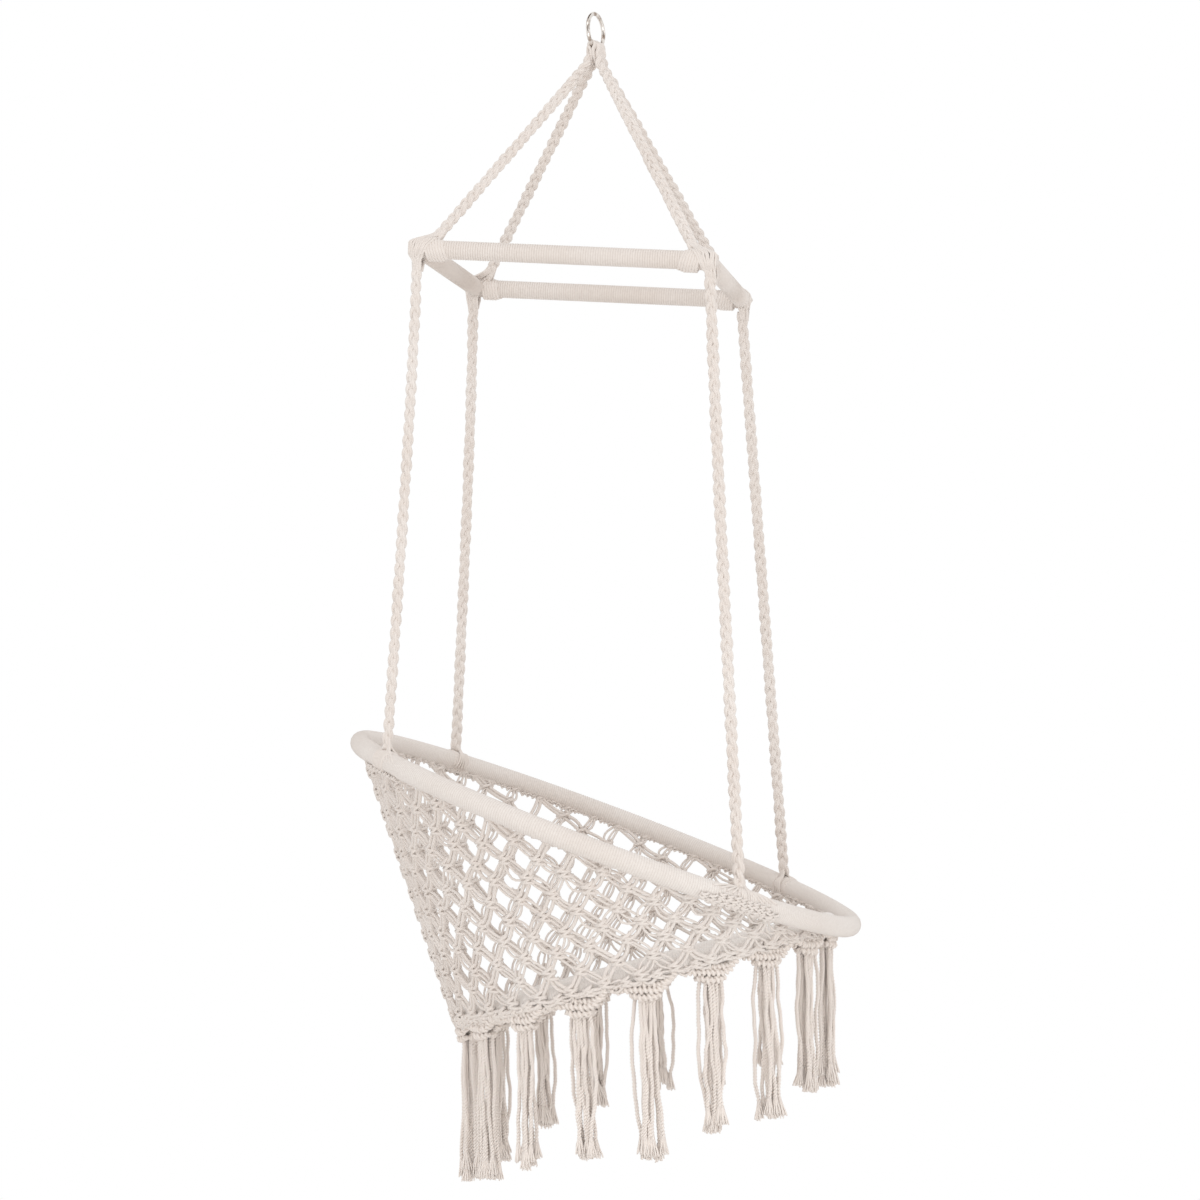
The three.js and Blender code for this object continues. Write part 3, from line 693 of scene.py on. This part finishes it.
# Strands of the upper rope run down over the bar's end and on into the lower rope. Each row is a lean
# on the bar with the shifts of the innermost and outermost strand along it, outward from the corner.
# Each end is a rise and a depth from the bar's middle, with the same two shifts.
fan = {
    "cord": 0.0041, "faces": ((1, 9), (-1, 7)), "lift": 0.0022, "uneven": 0.0008, "step": 0.0036,
    "wide": 0.0118, "apart": 0.0044, "above": 0.042, "swap": 0.25, "straightFrom": 0.35,
    "leaving": ((0.020, 1.25), (0.030, 1.35)),  # of the inner strands, and of those that run straight
    "rows": (
        (78, -0.0230, 0.0065), (45, -0.0185, 0.0115), (12, -0.0125, 0.0132),
        (-22, -0.0075, 0.0134), (-52, -0.0040, 0.0132),
    ),
    "ends": (
        (-0.0170, 0.0098, -0.0030, 0.0128), (-0.0240, 0.0052, -0.0022, 0.0122),
        (-0.0320, 0.0030, -0.0010, 0.0112),
    ),
    "reach": {"front_left": 0.78},
}
lashing = {
    "cord": 0.0055, "turns": 4.5, "easing": 2, "perTurn": 24, "pitch": 0.0041, "inset": 0.0095,
    "radius": 0.0146, "sunk": 0.0026, "slant": 0.0035, "hang": 0.0007,
}


def fanStrand(name, face, share):
    outWay = spreaderTurn @ Vector((corners[name][0], 0, 0))
    foot, way = footWay(name)
    bar = cornerPoint(name)
    reach = fan["reach"].get(name, 1.0)
    across = outWay * (share - 0.5) * fan["wide"] + face * fan["apart"]
    straight = share > fan["straightFrom"]  # these run straight from the rope to the bar's end
    leaving, spread = fan["leaving"][straight]
    line = [foot - way * fan["above"] + across * 0.8, foot - way * leaving + across * spread]
    for lean, inner, outer in fan["rows"][1 if straight else 0:]:
        shift = (inner + (outer - inner) * share) * reach + between(-1, 1) * fan["uneven"]
        ring = face * cos(radians(lean)) + barUp * sin(radians(lean))
        lift = fan["lift"] + between(-0.6, 1) * fan["uneven"]
        lift += spreader["wrap"] * (0.35 + 0.65 * roundedEnd(shift))
        line.append(bar + outWay * shift + ring * lift)
    swapped = shareOf(share + between(-fan["swap"], fan["swap"]), 0, 1)
    for drop, depth, inner, outer in fan["ends"]:
        shift = (inner + (outer - inner) * swapped) * reach
        line.append(bar + outWay * shift + upward * drop + face * depth)
    return smoothPath(line, fan["step"])


def lashingCoil(name):
    # Turns of cord round the bar and the strands on it; the last ones sink into the bar's winding
    sideWay = Vector((0, corners[name][1], 0))
    coil = []
    for k in range(round((lashing["turns"] + lashing["easing"]) * lashing["perTurn"]) + 1):
        turn = k / lashing["perTurn"]
        spin = turn * fullTurn
        sunk = lashing["sunk"] * shareOf(turn, lashing["turns"], lashing["turns"] + lashing["easing"])
        inward = lashing["inset"] + lashing["pitch"] * turn - lashing["slant"] * cos(spin)
        ring = sideWay * sin(spin) + barUp * cos(spin)
        coil.append(cornerPoint(name, inward) - barUp * lashing["hang"] + ring * (lashing["radius"] - sunk))
    return coil


def makeCorners():
    for name, (_, y) in corners.items():
        strands = []
        for side, count in fan["faces"]:
            face = Vector((0, y * side, 0))
            strands += [fanStrand(name, face, share) for share in shares(count - 1)]
        makeCords(
            f"corner_winding_{name}", [lashingCoil(name)], lashing["cord"], "plait", "spreader",
            f"corner_lashing_{name}", sides=8,
        )
        makeCords(
            f"corner_gather_{name}", strands, fan["cord"], "plait", "spreader",
            f"corner_knot_{name}",
        )
    print("chair: corners lashed")


def knotRuns(centre, across, along, out, size):
    # A flat knot: bights cross its front one above the other, and one lies behind
    runs = []
    for level, tilt in ((0.6, 0.36), (0.2, -0.4), (-0.2, 0.4), (-0.6, -0.36)):
        side = (across * cos(tilt) + along * sin(tilt)) * size * between(0.82, 1.08)
        middle = centre + along * level * size + across * size * between(-0.1, 0.1)
        run = []
        for share in shares(5):
            angle = -0.2 * pi + 1.4 * pi * share
            run.append(middle + side * cos(angle) + out * size * 0.38 * sin(angle))
        runs.append(run)
    runs.append([
        centre + across * size * 0.85 * cos(angle) - out * size * 0.4 * sin(angle)
        for angle in (0, 0.8, 1.57, 2.3, 3.14)
    ])
    return runs


def knotOn(ring, angle, lean, lift, size):
    # A flat knot on the skin of a wound ring
    out = (ring.skin(angle, lean) - ring.at(angle)).normalized()
    across = ring.way(angle)
    return knotRuns(ring.skin(angle, lean, lift), across, across.cross(out), out, size)


hoopTie = {
    "turns": 8, "perTurn": 16, "pitch": 0.0039, "lift": 0.0002, "sunk": -0.0010, "cord": 0.0036,
    "step": 0.004, "reaches": (0.003, 0.009, 0.016, 0.024, 0.033, 0.043, 0.054), "backStrands": 2,
    "above": 0.008, "below": 0.003, "out": 0.001, "turned": 96, "turnedLess": 5, "raised": 0.0012,
    "sinking": 0.0016, "uneven": (-0.0002, 0.0003), "back": {"above": 0.005, "turned": 125, "lift": 0.0028},
    "spread": {  # towards smaller and larger angles
        "rear_left": (0.3, 0.3), "rear_right": (0.2, 0.8),
        "front_left": (0.3, 0.3), "front_right": (1.0, 1.0),
    },
}
# Each row of hitches, at the front and at the rear knots: degrees round the hoop, and share of the span
hitch = {
    "cord": 0.0034, "knot": 0.0056, "span": 0.064, "lift": 0.0012, "step": (0.0085, 0.0125),
    "rows": {1: ((-128, 1.0), (-148, 0.85), (-108, 0.6)), -1: ((-150, 0.7),)},
}


def tieCoil(angle, faceLean):
    # Turns of cord round the hoop, which sink into its winding on the far side
    coil = []
    for k in range(hoopTie["turns"] * hoopTie["perTurn"] + 1):
        turn = k / hoopTie["perTurn"] - hoopTie["turns"] / 2
        spin = faceLean + turn * fullTurn
        lift = hoopTie["sunk"] + (hoopTie["lift"] - hoopTie["sunk"]) * (0.5 + 0.5 * cos(spin - 0.2))
        coil.append(hoop.skin(angle + turn * hoopTie["pitch"] / hoop.radius, spin, lift))
    return coil


def tieStrand(angle, pivot, toKnot, faceLean, way, i, reach, raised):
    # A strand of the rope parts from it, lies down along the hoop and goes round under it
    along = hoop.way(angle) * way
    outward = hoop.outward(angle) * hoopTie["out"]
    line = [
        pivot + along * 0.001 * (i + 1) + toKnot * hoopTie["above"] + outward,
        pivot + along * (0.002 + 0.0011 * i) - toKnot * hoopTie["below"] + outward,
    ]
    turned = radians(hoopTie["turned"] - hoopTie["turnedLess"] * i)
    first = hoopTie["reaches"][0]
    for share in shares(6)[1:]:
        shift = way * (first + (reach - first) * share) / hoop.radius
        lift = raised - hoopTie["sinking"] * share + between(*hoopTie["uneven"])
        line.append(hoop.skin(angle + shift, faceLean - turned * share ** 1.2, lift))
    return smoothPath(line, hoopTie["step"])


def tieBackStrand(angle, pivot, toKnot, faceLean, way, reach):
    # A strand that goes round the other way, over the hoop's inner side
    back = hoopTie["back"]
    near = hoop.way(angle) * way - hoop.outward(angle)
    line = [pivot + toKnot * back["above"], pivot + near * hoopTie["below"]]
    for share in shares(5)[1:]:
        lean = faceLean + radians(back["turned"]) * share
        lift = back["lift"] - 0.002 * share
        line.append(hoop.skin(angle + way * reach * share / hoop.radius, lean, lift))
    return smoothPath(line, hoopTie["step"])


def tieHitches(angle, faceLean, x):
    # Rows of small hitches under the hoop hold what the rope's strands were tied down with
    runs = []
    for turnBy, span in hitch["rows"][x]:
        reach = -hitch["span"] * span
        while reach < hitch["span"] * span:
            lean = faceLean + radians(turnBy - 8 * abs(reach) / hitch["span"])
            size = hitch["knot"] * between(0.75, 1.15)
            runs += knotOn(hoop, angle + reach / hoop.radius, lean, hitch["lift"], size)
            reach += between(*hitch["step"])
    return runs


def makeHoopKnots():
    for name, (x, _) in corners.items():
        angle = hoopAngle(name)
        pivot = hoopPivot(name)
        toKnot = (pivot - hoop.at(angle)).normalized()
        faceLean = hoop.leanOf(angle, toKnot)
        place = (angle, pivot, toKnot, faceLean)
        raised = hoopTie["raised"] if x > 0 else 0.0
        runs = [tieCoil(angle, faceLean)]
        for way, spread in zip((-1, 1), hoopTie["spread"][name]):
            for i, reach in enumerate(hoopTie["reaches"]):
                runs.append(tieStrand(*place, way, i, reach * spread, raised))
            for reach in hoopTie["reaches"][:hoopTie["backStrands"]]:
                runs.append(tieBackStrand(*place, way, reach))
        makeCords(
            f"hoop_tie_{name}", runs, hoopTie["cord"], "plait", "seat",
            f"hoop_knot_{name}",
        )
        hitches = tieHitches(angle, faceLean, x)
        makeCords(f"hoop_hitches_{name}", hitches, hitch["cord"], "net", "seat")
    print("chair: ropes tied to the hoop")


# The side net's columns count from the front left round the back to the front right, and its rows from
# the seat ring up. "parted" is the chance that a strip to that side has three cords.
net = {
    "phase": radians(-3), "columnAngle": radians(10), "firstColumn": 3, "columns": 30,
    "rows": 16, "halfRow": 0.0312, "frontLess": 0.0078, "rearColumn": 15.3, "band": 0.009,
    "cord": 0.0056, "pair": 0.0030, "knot": 0.0096, "uneven": 0.0036, "parted": {-1: 0.85, 1: 0.25},
    "thinnerKnot": 0.92, "topKnot": 0.58, "shortest": 0.15,
}
strip = {"thinner": 0.68, "lean": 0.004, "open": (0.0030, 0.0062), "closed": (0.0, 0.001), "sag": 0.0045}
lowRow = {"angle": radians(5), "gather": 0.92, "lean": radians(-16), "lift": 0.0024, "knot": 0.8}
hoopRow = {"cord": 0.0032, "knot": 0.0037, "step": (0.09, 0.15), "sunk": 0.001}
rulings = {}
nodeShifts = {}


def netAngle(column):
    return net["phase"] + (net["firstColumn"] + column) * net["columnAngle"]


def ruling(column):
    # The straight line of a column between the two rings
    if column in rulings:
        return rulings[column]
    angle = netAngle(column)
    ringCentre = seat.at(angle)
    ringWay = seat.way(angle)
    toHoop = hoop.at(angle) - ringCentre
    slant = toHoop.angle(hoop.way(angle))
    toHoop *= (toHoop.length - hoop.wrap * 0.9 / sin(slant)) / toHoop.length
    across = toHoop - ringWay * toHoop.dot(ringWay)
    offset = seat.wrap + net["cord"] / 2
    lean = asin(offset / across.length)
    normal = Matrix.Rotation(pi / 2 - lean, 3, ringWay) @ across.normalized()
    start = ringCentre + normal * offset
    line = ringCentre + toHoop - start
    rulings[column] = {
        "start": start, "out": normal, "up": line.normalized(), "length": line.length, "across": ringWay,
    }
    return rulings[column]


def netPoint(column, height):
    return ruling(column)["start"] + ruling(column)["up"] * height


def netKnot(centre, column, size):
    line = ruling(column)
    return knotRuns(centre, line["across"], line["up"], line["out"], size)


def nodeHeight(column, row):
    # Rows are lower towards the front, where the net is short
    front = ((column - net["rearColumn"]) / net["rearColumn"]) ** 2
    return net["band"] + (net["halfRow"] - net["frontLess"] * front) * row


def nodePoint(column, row):
    key = (column, row)
    if key not in nodeShifts:
        uneven = net["uneven"] if row else 0.0
        nodeShifts[key] = (between(-uneven, uneven), between(-uneven, uneven))
    across, along = nodeShifts[key]
    return netPoint(column, nodeHeight(column, row) + along) + ruling(column)["across"] * across


def hasKnot(column, row):
    if not 0 <= column <= net["columns"]:
        return False
    return row == 0 or nodeHeight(column, row) + net["knot"] * 0.8 <= ruling(column)["length"]


def strandPair(centreAt, sideways, steps, chance):
    # Two cords side by side, or three thinner ones that part in the middle
    parted = dice.random() < chance
    thickness = strip["thinner"] if parted else 1.0
    leaning = between(-strip["lean"], strip["lean"])
    widest = between(*strip["open" if parted else "closed"])
    runs = []
    for lane in (-1, 0, 1) if parted else (-1, 1):
        swell = widest * between(0.6, 1.2)
        sag = between(0.0, strip["sag"])
        points = []
        for t in shares(steps):
            hump = sin(pi * t)
            shift = lane * (net["pair"] * (0.8 + 0.2 * hump) + swell * hump) + leaning * hump
            points.append((centreAt(t) + sideways * shift - upward * sag * hump, thickness))
        runs.append(points)
    return runs


def netStrip(column, row, side, knots):
    # Cords from one knot to the next one up, or on to the hoop
    nextColumn = column + side / 2
    if not 0 <= nextColumn <= net["columns"]:
        return []
    first = nodePoint(column, row)
    if hasKnot(nextColumn, row + 1):
        reach = 1.0
        last = nodePoint(nextColumn, row + 1)
        top = nodeHeight(nextColumn, row + 1)
    else:
        reach = 0.0
        while reach < 1.0 and nodeHeight(column, row + reach) < ruling(column + side * reach / 2)["length"]:
            reach += 0.05
        if reach < net["shortest"]:
            return []
        topColumn = column + side * reach / 2
        top = ruling(topColumn)["length"]
        last = netPoint(topColumn, top)
        knots += netKnot(netPoint(topColumn, top - 0.001), topColumn, net["knot"] * net["topKnot"])
    middle = netPoint(column + side * reach / 4, (nodeHeight(column, row) + top) / 2)
    bulge = middle - (first + last) / 2

    def centreAt(t):
        return first.lerp(last, t) + bulge * 4 * t * (1 - t)

    sideways = ruling(column)["out"].cross(last - first).normalized()
    return strandPair(centreAt, sideways, 6, net["parted"][side])


def lowStrips(column, knots):
    # From the lowest knots the pairs go on over the seat ring, and meet at both shoulders of each tassel
    angle = netAngle(column)
    normal = ruling(column)["out"]
    top = netPoint(column, net["band"])
    firstLean = seat.leanOf(angle, normal)
    runs = []
    onTassel = (column + net["firstColumn"]) % 2 == 0
    for side in (-1, 1):
        shift = side * lowRow["angle"] * (lowRow["gather"] if onTassel else 2 - lowRow["gather"])

        def centreAt(t):
            if t == 0:
                return top
            lean = firstLean + (lowRow["lean"] - firstLean) * t
            return seat.skin(angle + shift * t, lean, lowRow["lift"])

        sideways = normal.cross(centreAt(1) - centreAt(0)).normalized()
        runs += strandPair(centreAt, sideways, 5, net["parted"][1])
        if onTassel:
            size = net["knot"] * lowRow["knot"]
            knots += knotOn(seat, angle + shift, lowRow["lean"], lowRow["lift"], size)
    return runs


def hoopHitches():
    # Small hitches hold the net all along the hoop's lower inner side
    runs = []
    column = 0.0
    while column < net["columns"]:
        size = hoopRow["knot"] * between(0.8, 1.2)
        inside = ruling(column)["length"] - between(-0.002, 0.003)
        centre = netPoint(column, inside) - ruling(column)["out"] * hoopRow["sunk"]
        runs += netKnot(centre, column, size)
        column += between(*hoopRow["step"])
    return runs


def makeSideNet():
    runs = []
    knots = []
    for row in range(net["rows"]):
        column = 0.5 if row % 2 else 0.0
        while column <= net["columns"]:
            if hasKnot(column, row):
                size = net["knot"] * between(0.88, 1.15)
                knots += netKnot(nodePoint(column, row), column, size)
                for side in (-1, 1):
                    runs += netStrip(column, row, side, knots)
            column += 1.0
    for k in range(2 * tassel["count"]):
        runs += lowStrips(k - net["firstColumn"], knots)
    makeCords("net_sides_cords", runs, net["cord"], "net", "seat", "side_net")
    makeCords("net_sides_knots", knots, net["cord"] * net["thinnerKnot"], "net", "seat")
    makeCords("net_sides_hitches", hoopHitches(), hoopRow["cord"], "net", "seat")
    print("chair: side net knotted,", len(runs), "cords")


# The seat net has two zones of knots between three radii, and a coil of cord in the middle
seatFill = {
    "cord": 0.004, "pair": 0.0022, "knot": 0.0056, "sag": 0.016, "halfRow": 0.0155,
    "radii": (0.259, 0.142, 0.035), "columns": (36, 18), "bow": (-0.001, 0.002),
    "eyeTurns": 7, "eyeRadius": 0.034, "eyeStep": 0.0046,
}


def seatPoint(angle, radius):
    dip = seatFill["sag"] * (1 - (radius / seatFill["radii"][0]) ** 2)
    return seat.at(angle, radius - seat.radius, -dip)


def seatStrip(angle, turn, radius, below):
    # Two cords from one knot to the next one inward
    sideways = seat.up.cross(seatPoint(angle + turn, below) - seatPoint(angle, radius)).normalized()
    runs = []
    for lane in (-1, 1):
        bow = between(*seatFill["bow"])
        points = []
        for t in shares(3):
            aside = sideways * lane * (seatFill["pair"] + bow * sin(pi * t))
            points.append(seatPoint(angle + turn * t, radius + (below - radius) * t) + aside)
        runs.append(points)
    return runs


def seatEye():
    # The coil in the middle, ring within ring
    runs = []
    for k in range(seatFill["eyeTurns"]):
        radius = seatFill["eyeRadius"] - seatFill["eyeStep"] * k
        runs.append([seatPoint(fullTurn * share, radius) for share in shares(36 - 4 * k)])
    return runs


def makeSeatNet():
    runs = []
    knots = []
    for columns, outer, inner in zip(seatFill["columns"], seatFill["radii"], seatFill["radii"][1:]):
        pitch = fullTurn / columns
        count = round((outer - inner) / seatFill["halfRow"])
        step = (outer - inner) / count
        for row in range(count + 1):
            radius = outer - step * row
            for column in range(columns):
                angle = net["phase"] + pitch * (column + (row % 2) / 2)
                if row:
                    centre = seatPoint(angle, radius)
                    inward = (seatPoint(angle, radius - 0.01) - centre).normalized()
                    knots += knotRuns(centre, inward.cross(seat.up), inward, seat.up, seatFill["knot"])
                if row < count:
                    for side in (-1, 1):
                        runs += seatStrip(angle, side * pitch / 2, radius, radius - step)
    runs += seatEye()
    makeCords("net_seat_cords", runs, seatFill["cord"], "seatNet", "seat", "seat_net")
    makeCords("net_seat_knots", knots, seatFill["cord"], "seatNet", "seat")
    print("chair: seat net knotted,", len(runs), "cords")


# Each tassel hangs at its knot. Some are longer, shorter or fuller than the others, by their number.
tassel = {
    "count": 18, "strands": 10, "length": 0.214, "knotReach": 0.0093, "lay": 0.0095,
    "ply": 0.0033, "plyReach": 0.0018, "step": 0.0024, "bends": 18, "frayed": 0.016,
    "top": (0.0130, 0.0060), "end": (0.0140, 0.010), "wave": (0.0007, 0.0019), "stray": (0.006, 0.013),
    "strays": 0.7, "shorter": 0.018, "uneven": 0.004, "drift": 0.005,
    "longer": {
        4: -0.034, 5: -0.024, 6: -0.040, 7: -0.040, 8: -0.030, 12: 0.001,
        13: -0.004, 15: 0.028, 16: 0.012, 17: 0.022, 18: -0.003,
    },
    "fuller": {11: 1.3, 12: 1.3},
}
# The rows of hitches of a tassel's head: the angle to the shoulders, their lean on the seat ring or none
# for the lowest row, the height of the row's middle over the knot, and how far that stands out
head = {
    "cord": 0.0050, "coil": 0.0030, "pitch": 0.0068, "perTurn": 7, "step": 0.004, "behind": 0.8,
    "rows": (
        (9.2, 34, 0.0095, 0.0092),
        (7.8, 62, 0.0015, 0.0115),
        (4.2, None, -0.0090, 0.0100),
    ),
}
# Knots that cover the seat ring's outer side at the back, each row with its lean and the share of the arc
rim = {
    "rows": ((-8, 0.5), (-34, 0.9), (-60, 1.0), (-84, 0.8)), "cord": 0.0042, "knot": 0.0062,
    "middle": radians(190), "reach": radians(62), "lift": 0.0016, "step": (0.040, 0.058),
    "headLean": -50, "headRoom": radians(4.2),
}


def tasselFrame(index):
    angle = net["phase"] + fullTurn * index / tassel["count"]
    way = seat.way(angle)
    low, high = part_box(f"tassel_{index + 1:02d}")
    knot = Vector(((low.x + high.x) / 2, (low.y + high.y) / 2, high.z - tassel["knotReach"]))
    return angle, knot, Vector((way.x, way.y, 0)).normalized(), way.cross(upward).normalized()


def headCarrier(index, face, corner, lean, height, out):
    # The cord that a row of hitches sits on, from one shoulder of the tassel to the other
    angle, knot, flat, outward = tasselFrame(index)
    turn = radians(corner)
    reach = flat * seat.radius * tan(turn)
    aside = outward * face * out * (1 if face > 0 else head["behind"])
    middle = knot + upward * height + aside
    shoulders = []
    quarters = []
    for side in (-1, 1):
        if lean is None:
            shoulder = knot + reach * side - upward * 0.0045 + outward * face * 0.002
        else:
            tilt = -radians(lean if face > 0 else 180 - lean * 0.9)
            shoulder = seat.skin(angle + side * turn, tilt, 0.0015)
        shoulders.append(shoulder)
        quarters.append(middle + reach * side * 0.55 + upward * 0.0014 - aside * 0.16)
    return smoothPath([shoulders[0], quarters[0], middle, quarters[1], shoulders[1]], head["step"])


def hitchRow(carrier, phase):
    # A row of hitches is a cord wound about a carrier
    run = []
    points = evenSteps(carrier, head["pitch"] / head["perTurn"])
    for i, (point, along) in enumerate(zip(points, directions(points))):
        side = along.cross(upward).normalized()
        other = along.cross(side)
        spin = fullTurn * i / head["perTurn"] + phase
        swell = head["coil"] * (1 + 0.3 * sin(i * 0.53 + phase))
        run.append(point + side * swell * cos(spin) + other * swell * 1.2 * sin(spin))
    return run


def rimKnots():
    runs = []
    spacing = fullTurn / tassel["count"]
    for lean, span in rim["rows"]:
        reach = rim["reach"] * span
        turn = -reach
        while turn < reach:
            angle = rim["middle"] + turn
            turn += between(*rim["step"])
            tilt = radians(lean + between(-7, 7))
            size = rim["knot"] * between(0.8, 1.15)
            fromTassel = abs((angle - net["phase"] + spacing / 2) % spacing - spacing / 2)
            if lean > rim["headLean"] or fromTassel > rim["headRoom"]:
                runs += knotOn(seat, angle, tilt, rim["lift"], size)
    return runs


def makeHeads():
    # Below the seat ring the cords are hitched together, row under row, into the head of each tassel
    hitches = []
    carriers = []
    for index in range(tassel["count"]):
        for face, rows in ((1, head["rows"]), (-1, head["rows"][1:])):
            for row in rows:
                carriers.append(headCarrier(index, face, *row))
                hitches.append(hitchRow(carriers[-1], between(0, fullTurn)))
    makeCords("seat_ring_hitches", hitches, head["cord"], "seatNet", "seat")
    makeCords("seat_ring_carriers", carriers, net["cord"], "seatNet", "seat")
    makeCords("seat_ring_knots", rimKnots(), rim["cord"], "seatNet", "seat")
    print("chair: tassel heads hitched,", len(hitches))


def strandLine(k, count, length, fuller, drift, place):
    # One cord of a tassel; the outermost ones may stray, and each is a little wavy
    knot, flat, outward = place
    across = -1 + 2 * (k + 0.5) / count
    layer = 1 if k % 2 else -1
    topX = tassel["top"][0] * across
    topY = tassel["top"][1] * layer * between(0.5, 1.0)
    endX = tassel["end"][0] * fuller * across * between(0.6, 1.25)
    endX += between(-tassel["uneven"], tassel["uneven"]) + drift
    endY = tassel["end"][1] * layer * between(0.1, 1.1)
    stray = 0.0
    if k in (0, count - 1) and dice.random() < tassel["strays"]:
        stray = between(*tassel["stray"]) * (1 if across > 0 else -1)
    reach = length - between(0.0, tassel["shorter"]) - tassel["frayed"]
    phase = between(0, fullTurn)
    wave = between(*tassel["wave"])
    line = []
    for t in shares(tassel["bends"]):
        ease = t * t * (3 - 2 * t)
        narrow = 1 - 0.14 * sin(pi * t)
        swing = wave * min(1, t * 4)
        x = (topX + (endX - topX) * ease) * narrow + stray * sin(pi * min(1, t * 1.1)) ** 0.7
        x += swing * (sin(phase + t * 12) + 0.5 * sin(phase * 2 + t * 33))
        y = topY + (endY - topY) * ease + swing * cos(phase + t * 11)
        drop = (reach + 0.004) * t - 0.004
        line.append(knot + flat * x + outward * y - upward * drop)
    return smoothPath(line, tassel["step"]), phase


def twistedPlies(line, phase, flat, outward):
    runs = []
    for ply in (0, pi):
        run = []
        for i, point in enumerate(line):
            roll = phase + ply + fullTurn * i * tassel["step"] / tassel["lay"]
            run.append(point + (flat * cos(roll) + outward * sin(roll)) * tassel["plyReach"])
        runs.append(run)
    return runs


fray = {
    "cord": 0.0024, "count": 16, "length": (0.016, 0.021), "bend": 0.0056, "back": 0.010, "spread": 0.0020,
}


def frayedEnd(before, end, flat, outward):
    # A cord's end, opened into its yarns
    way = (end - before).normalized()
    runs = []
    for k in range(fray["count"]):
        spin = k * 2.4
        share = sqrt((k + 0.5) / fray["count"])
        aside = flat * cos(spin) + outward * sin(spin)
        length = between(*fray["length"])
        bend = fray["bend"] * share * between(0.8, 1.2)
        start = end - way * fray["back"] + aside * fray["spread"] * share
        runs.append([
            start,
            start + way * (0.005 + length * 0.35) + aside * bend * 0.4,
            start + way * (0.006 + length * 0.75) + aside * bend * 0.85,
            (start + way * (0.006 + length) + aside * bend, 0.85),
        ])
    return runs


def makeTassels():
    for index in range(tassel["count"]):
        _, knot, flat, outward = tasselFrame(index)
        length = tassel["length"] + tassel["longer"].get(index + 1, 0.0)
        fuller = tassel["fuller"].get(index + 1, 1.0)
        count = round(tassel["strands"] * fuller)
        drift = between(-tassel["drift"], tassel["drift"])
        runs = []
        fibres = []
        for k in range(count):
            line, phase = strandLine(k, count, length, fuller, drift, (knot, flat, outward))
            runs += twistedPlies(line, phase, flat, outward)
            fibres += frayedEnd(line[-4], line[-1], flat, outward)
        name = f"tassel_{index + 1:02d}"
        body = f"tassel_{index + 1}"
        makeCords(f"fringe_{name}", runs, tassel["ply"], "tassel", body, name)
        makeCords(f"frayed_{name}", fibres, fray["cord"], "frayed", body, sides=4)
    print("chair: tassels hung")


def dressTubes():
    for name in ("spreader_tube", "hoop_tube", "seat_ring_tube"):
        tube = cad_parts[name]
        tube.data.materials.clear()
        tube.data.materials.append(finishes["tube"])


# Each lamp has a place, a size, a power and a point that it faces; each board has a place and a size.
# The boards show only in reflections.
studio = {
    "floorDrop": 2.12, "floorRadius": 2.3, "world": 1.0,
    "lamps": {
        "keyLamp": ((-0.8, -2.8, 2.4), 1.6, 15, (0, 0, -0.95)),
        "fillLamp": ((3.0, -2.2, -0.4), 2.4, 10, (0, 0, -0.95)),
        "lowLamp": ((0.5, -3.4, -1.5), 1.1, 17, (0, 0, -1.5)),
    },
    "boards": {"boardFront": ((0.6, -5.6, 0.8), 2.6), "boardTop": ((-0.6, 0.4, 3.4), 1.5)},
}


def makeFloor():
    material, shader, _, place = newFinish("paleFloor", {"Roughness": 0.85})
    feed(shader, "Base Color", blend(noise(place, 30.0, 3.0), tint(243, 242, 240), tint(248, 247, 246)))
    shape = bmesh.new()
    bmesh.ops.create_circle(
        shape, cap_ends=True, segments=96, radius=studio["floorRadius"],
        matrix=Matrix.Translation((0, 0, -studio["floorDrop"])),
    )
    linkMesh("floor", meshFrom(shape, "floor"), material)


def makeBoards():
    material, shader, _, place = newFinish("warmBoard", {"Roughness": 0.9})
    feed(shader, "Base Color", blend(noise(place, 2.0, 3.0), tint(52, 42, 36), tint(104, 84, 70)))
    for name, (spot, size) in studio["boards"].items():
        shape = bmesh.new()
        facing = (-Vector(spot)).to_track_quat("Z", "Y").to_matrix().to_4x4()
        bmesh.ops.create_grid(
            shape, x_segments=2, y_segments=2, size=size, matrix=Matrix.Translation(spot) @ facing,
        )
        board = linkMesh(name, meshFrom(shape, name), material)
        for ray in ("camera", "diffuse", "shadow", "transmission"):
            setattr(board, f"visible_{ray}", False)


def makeLight():
    world = bpy.data.worlds.new("studio")
    scene.world = world
    world.use_nodes = True
    seen = Value(world.node_tree).node("ShaderNodeLightPath", output="Is Camera Ray")
    mirrored = seen.other("Is Glossy Ray")
    through = seen.other("Is Transmission Ray")
    bright = seen.maths("MAXIMUM", seen, seen.maths("MAXIMUM", mirrored, through))
    background = world.node_tree.nodes["Background"]
    background.inputs["Color"].default_value = (1, 1, 1, 1)
    feed(background, "Strength", bright * (1 - studio["world"]) + studio["world"])
    for name, (spot, size, power, target) in studio["lamps"].items():
        data = bpy.data.lights.new(name, "AREA")
        data.energy = power
        data.size = size
        lamp = bpy.data.objects.new(name, data)
        lamp.location = spot
        lamp.rotation_euler = (Vector(target) - Vector(spot)).to_track_quat("-Z", "Y").to_euler()
        scene.collection.objects.link(lamp)


makeCamera()
makeUpperRopes()
makeLowerRopes()
makeHangingRing()
makeSaddle()
makeSpreaderWraps()
makeCorners()
makeRingWraps()
makeHoopKnots()
makeSideNet()
makeSeatNet()
makeHeads()
makeTassels()
dressTubes()
makeFloor()
makeLight()
makeBoards()
print("chair: floor, lamps and boards set")
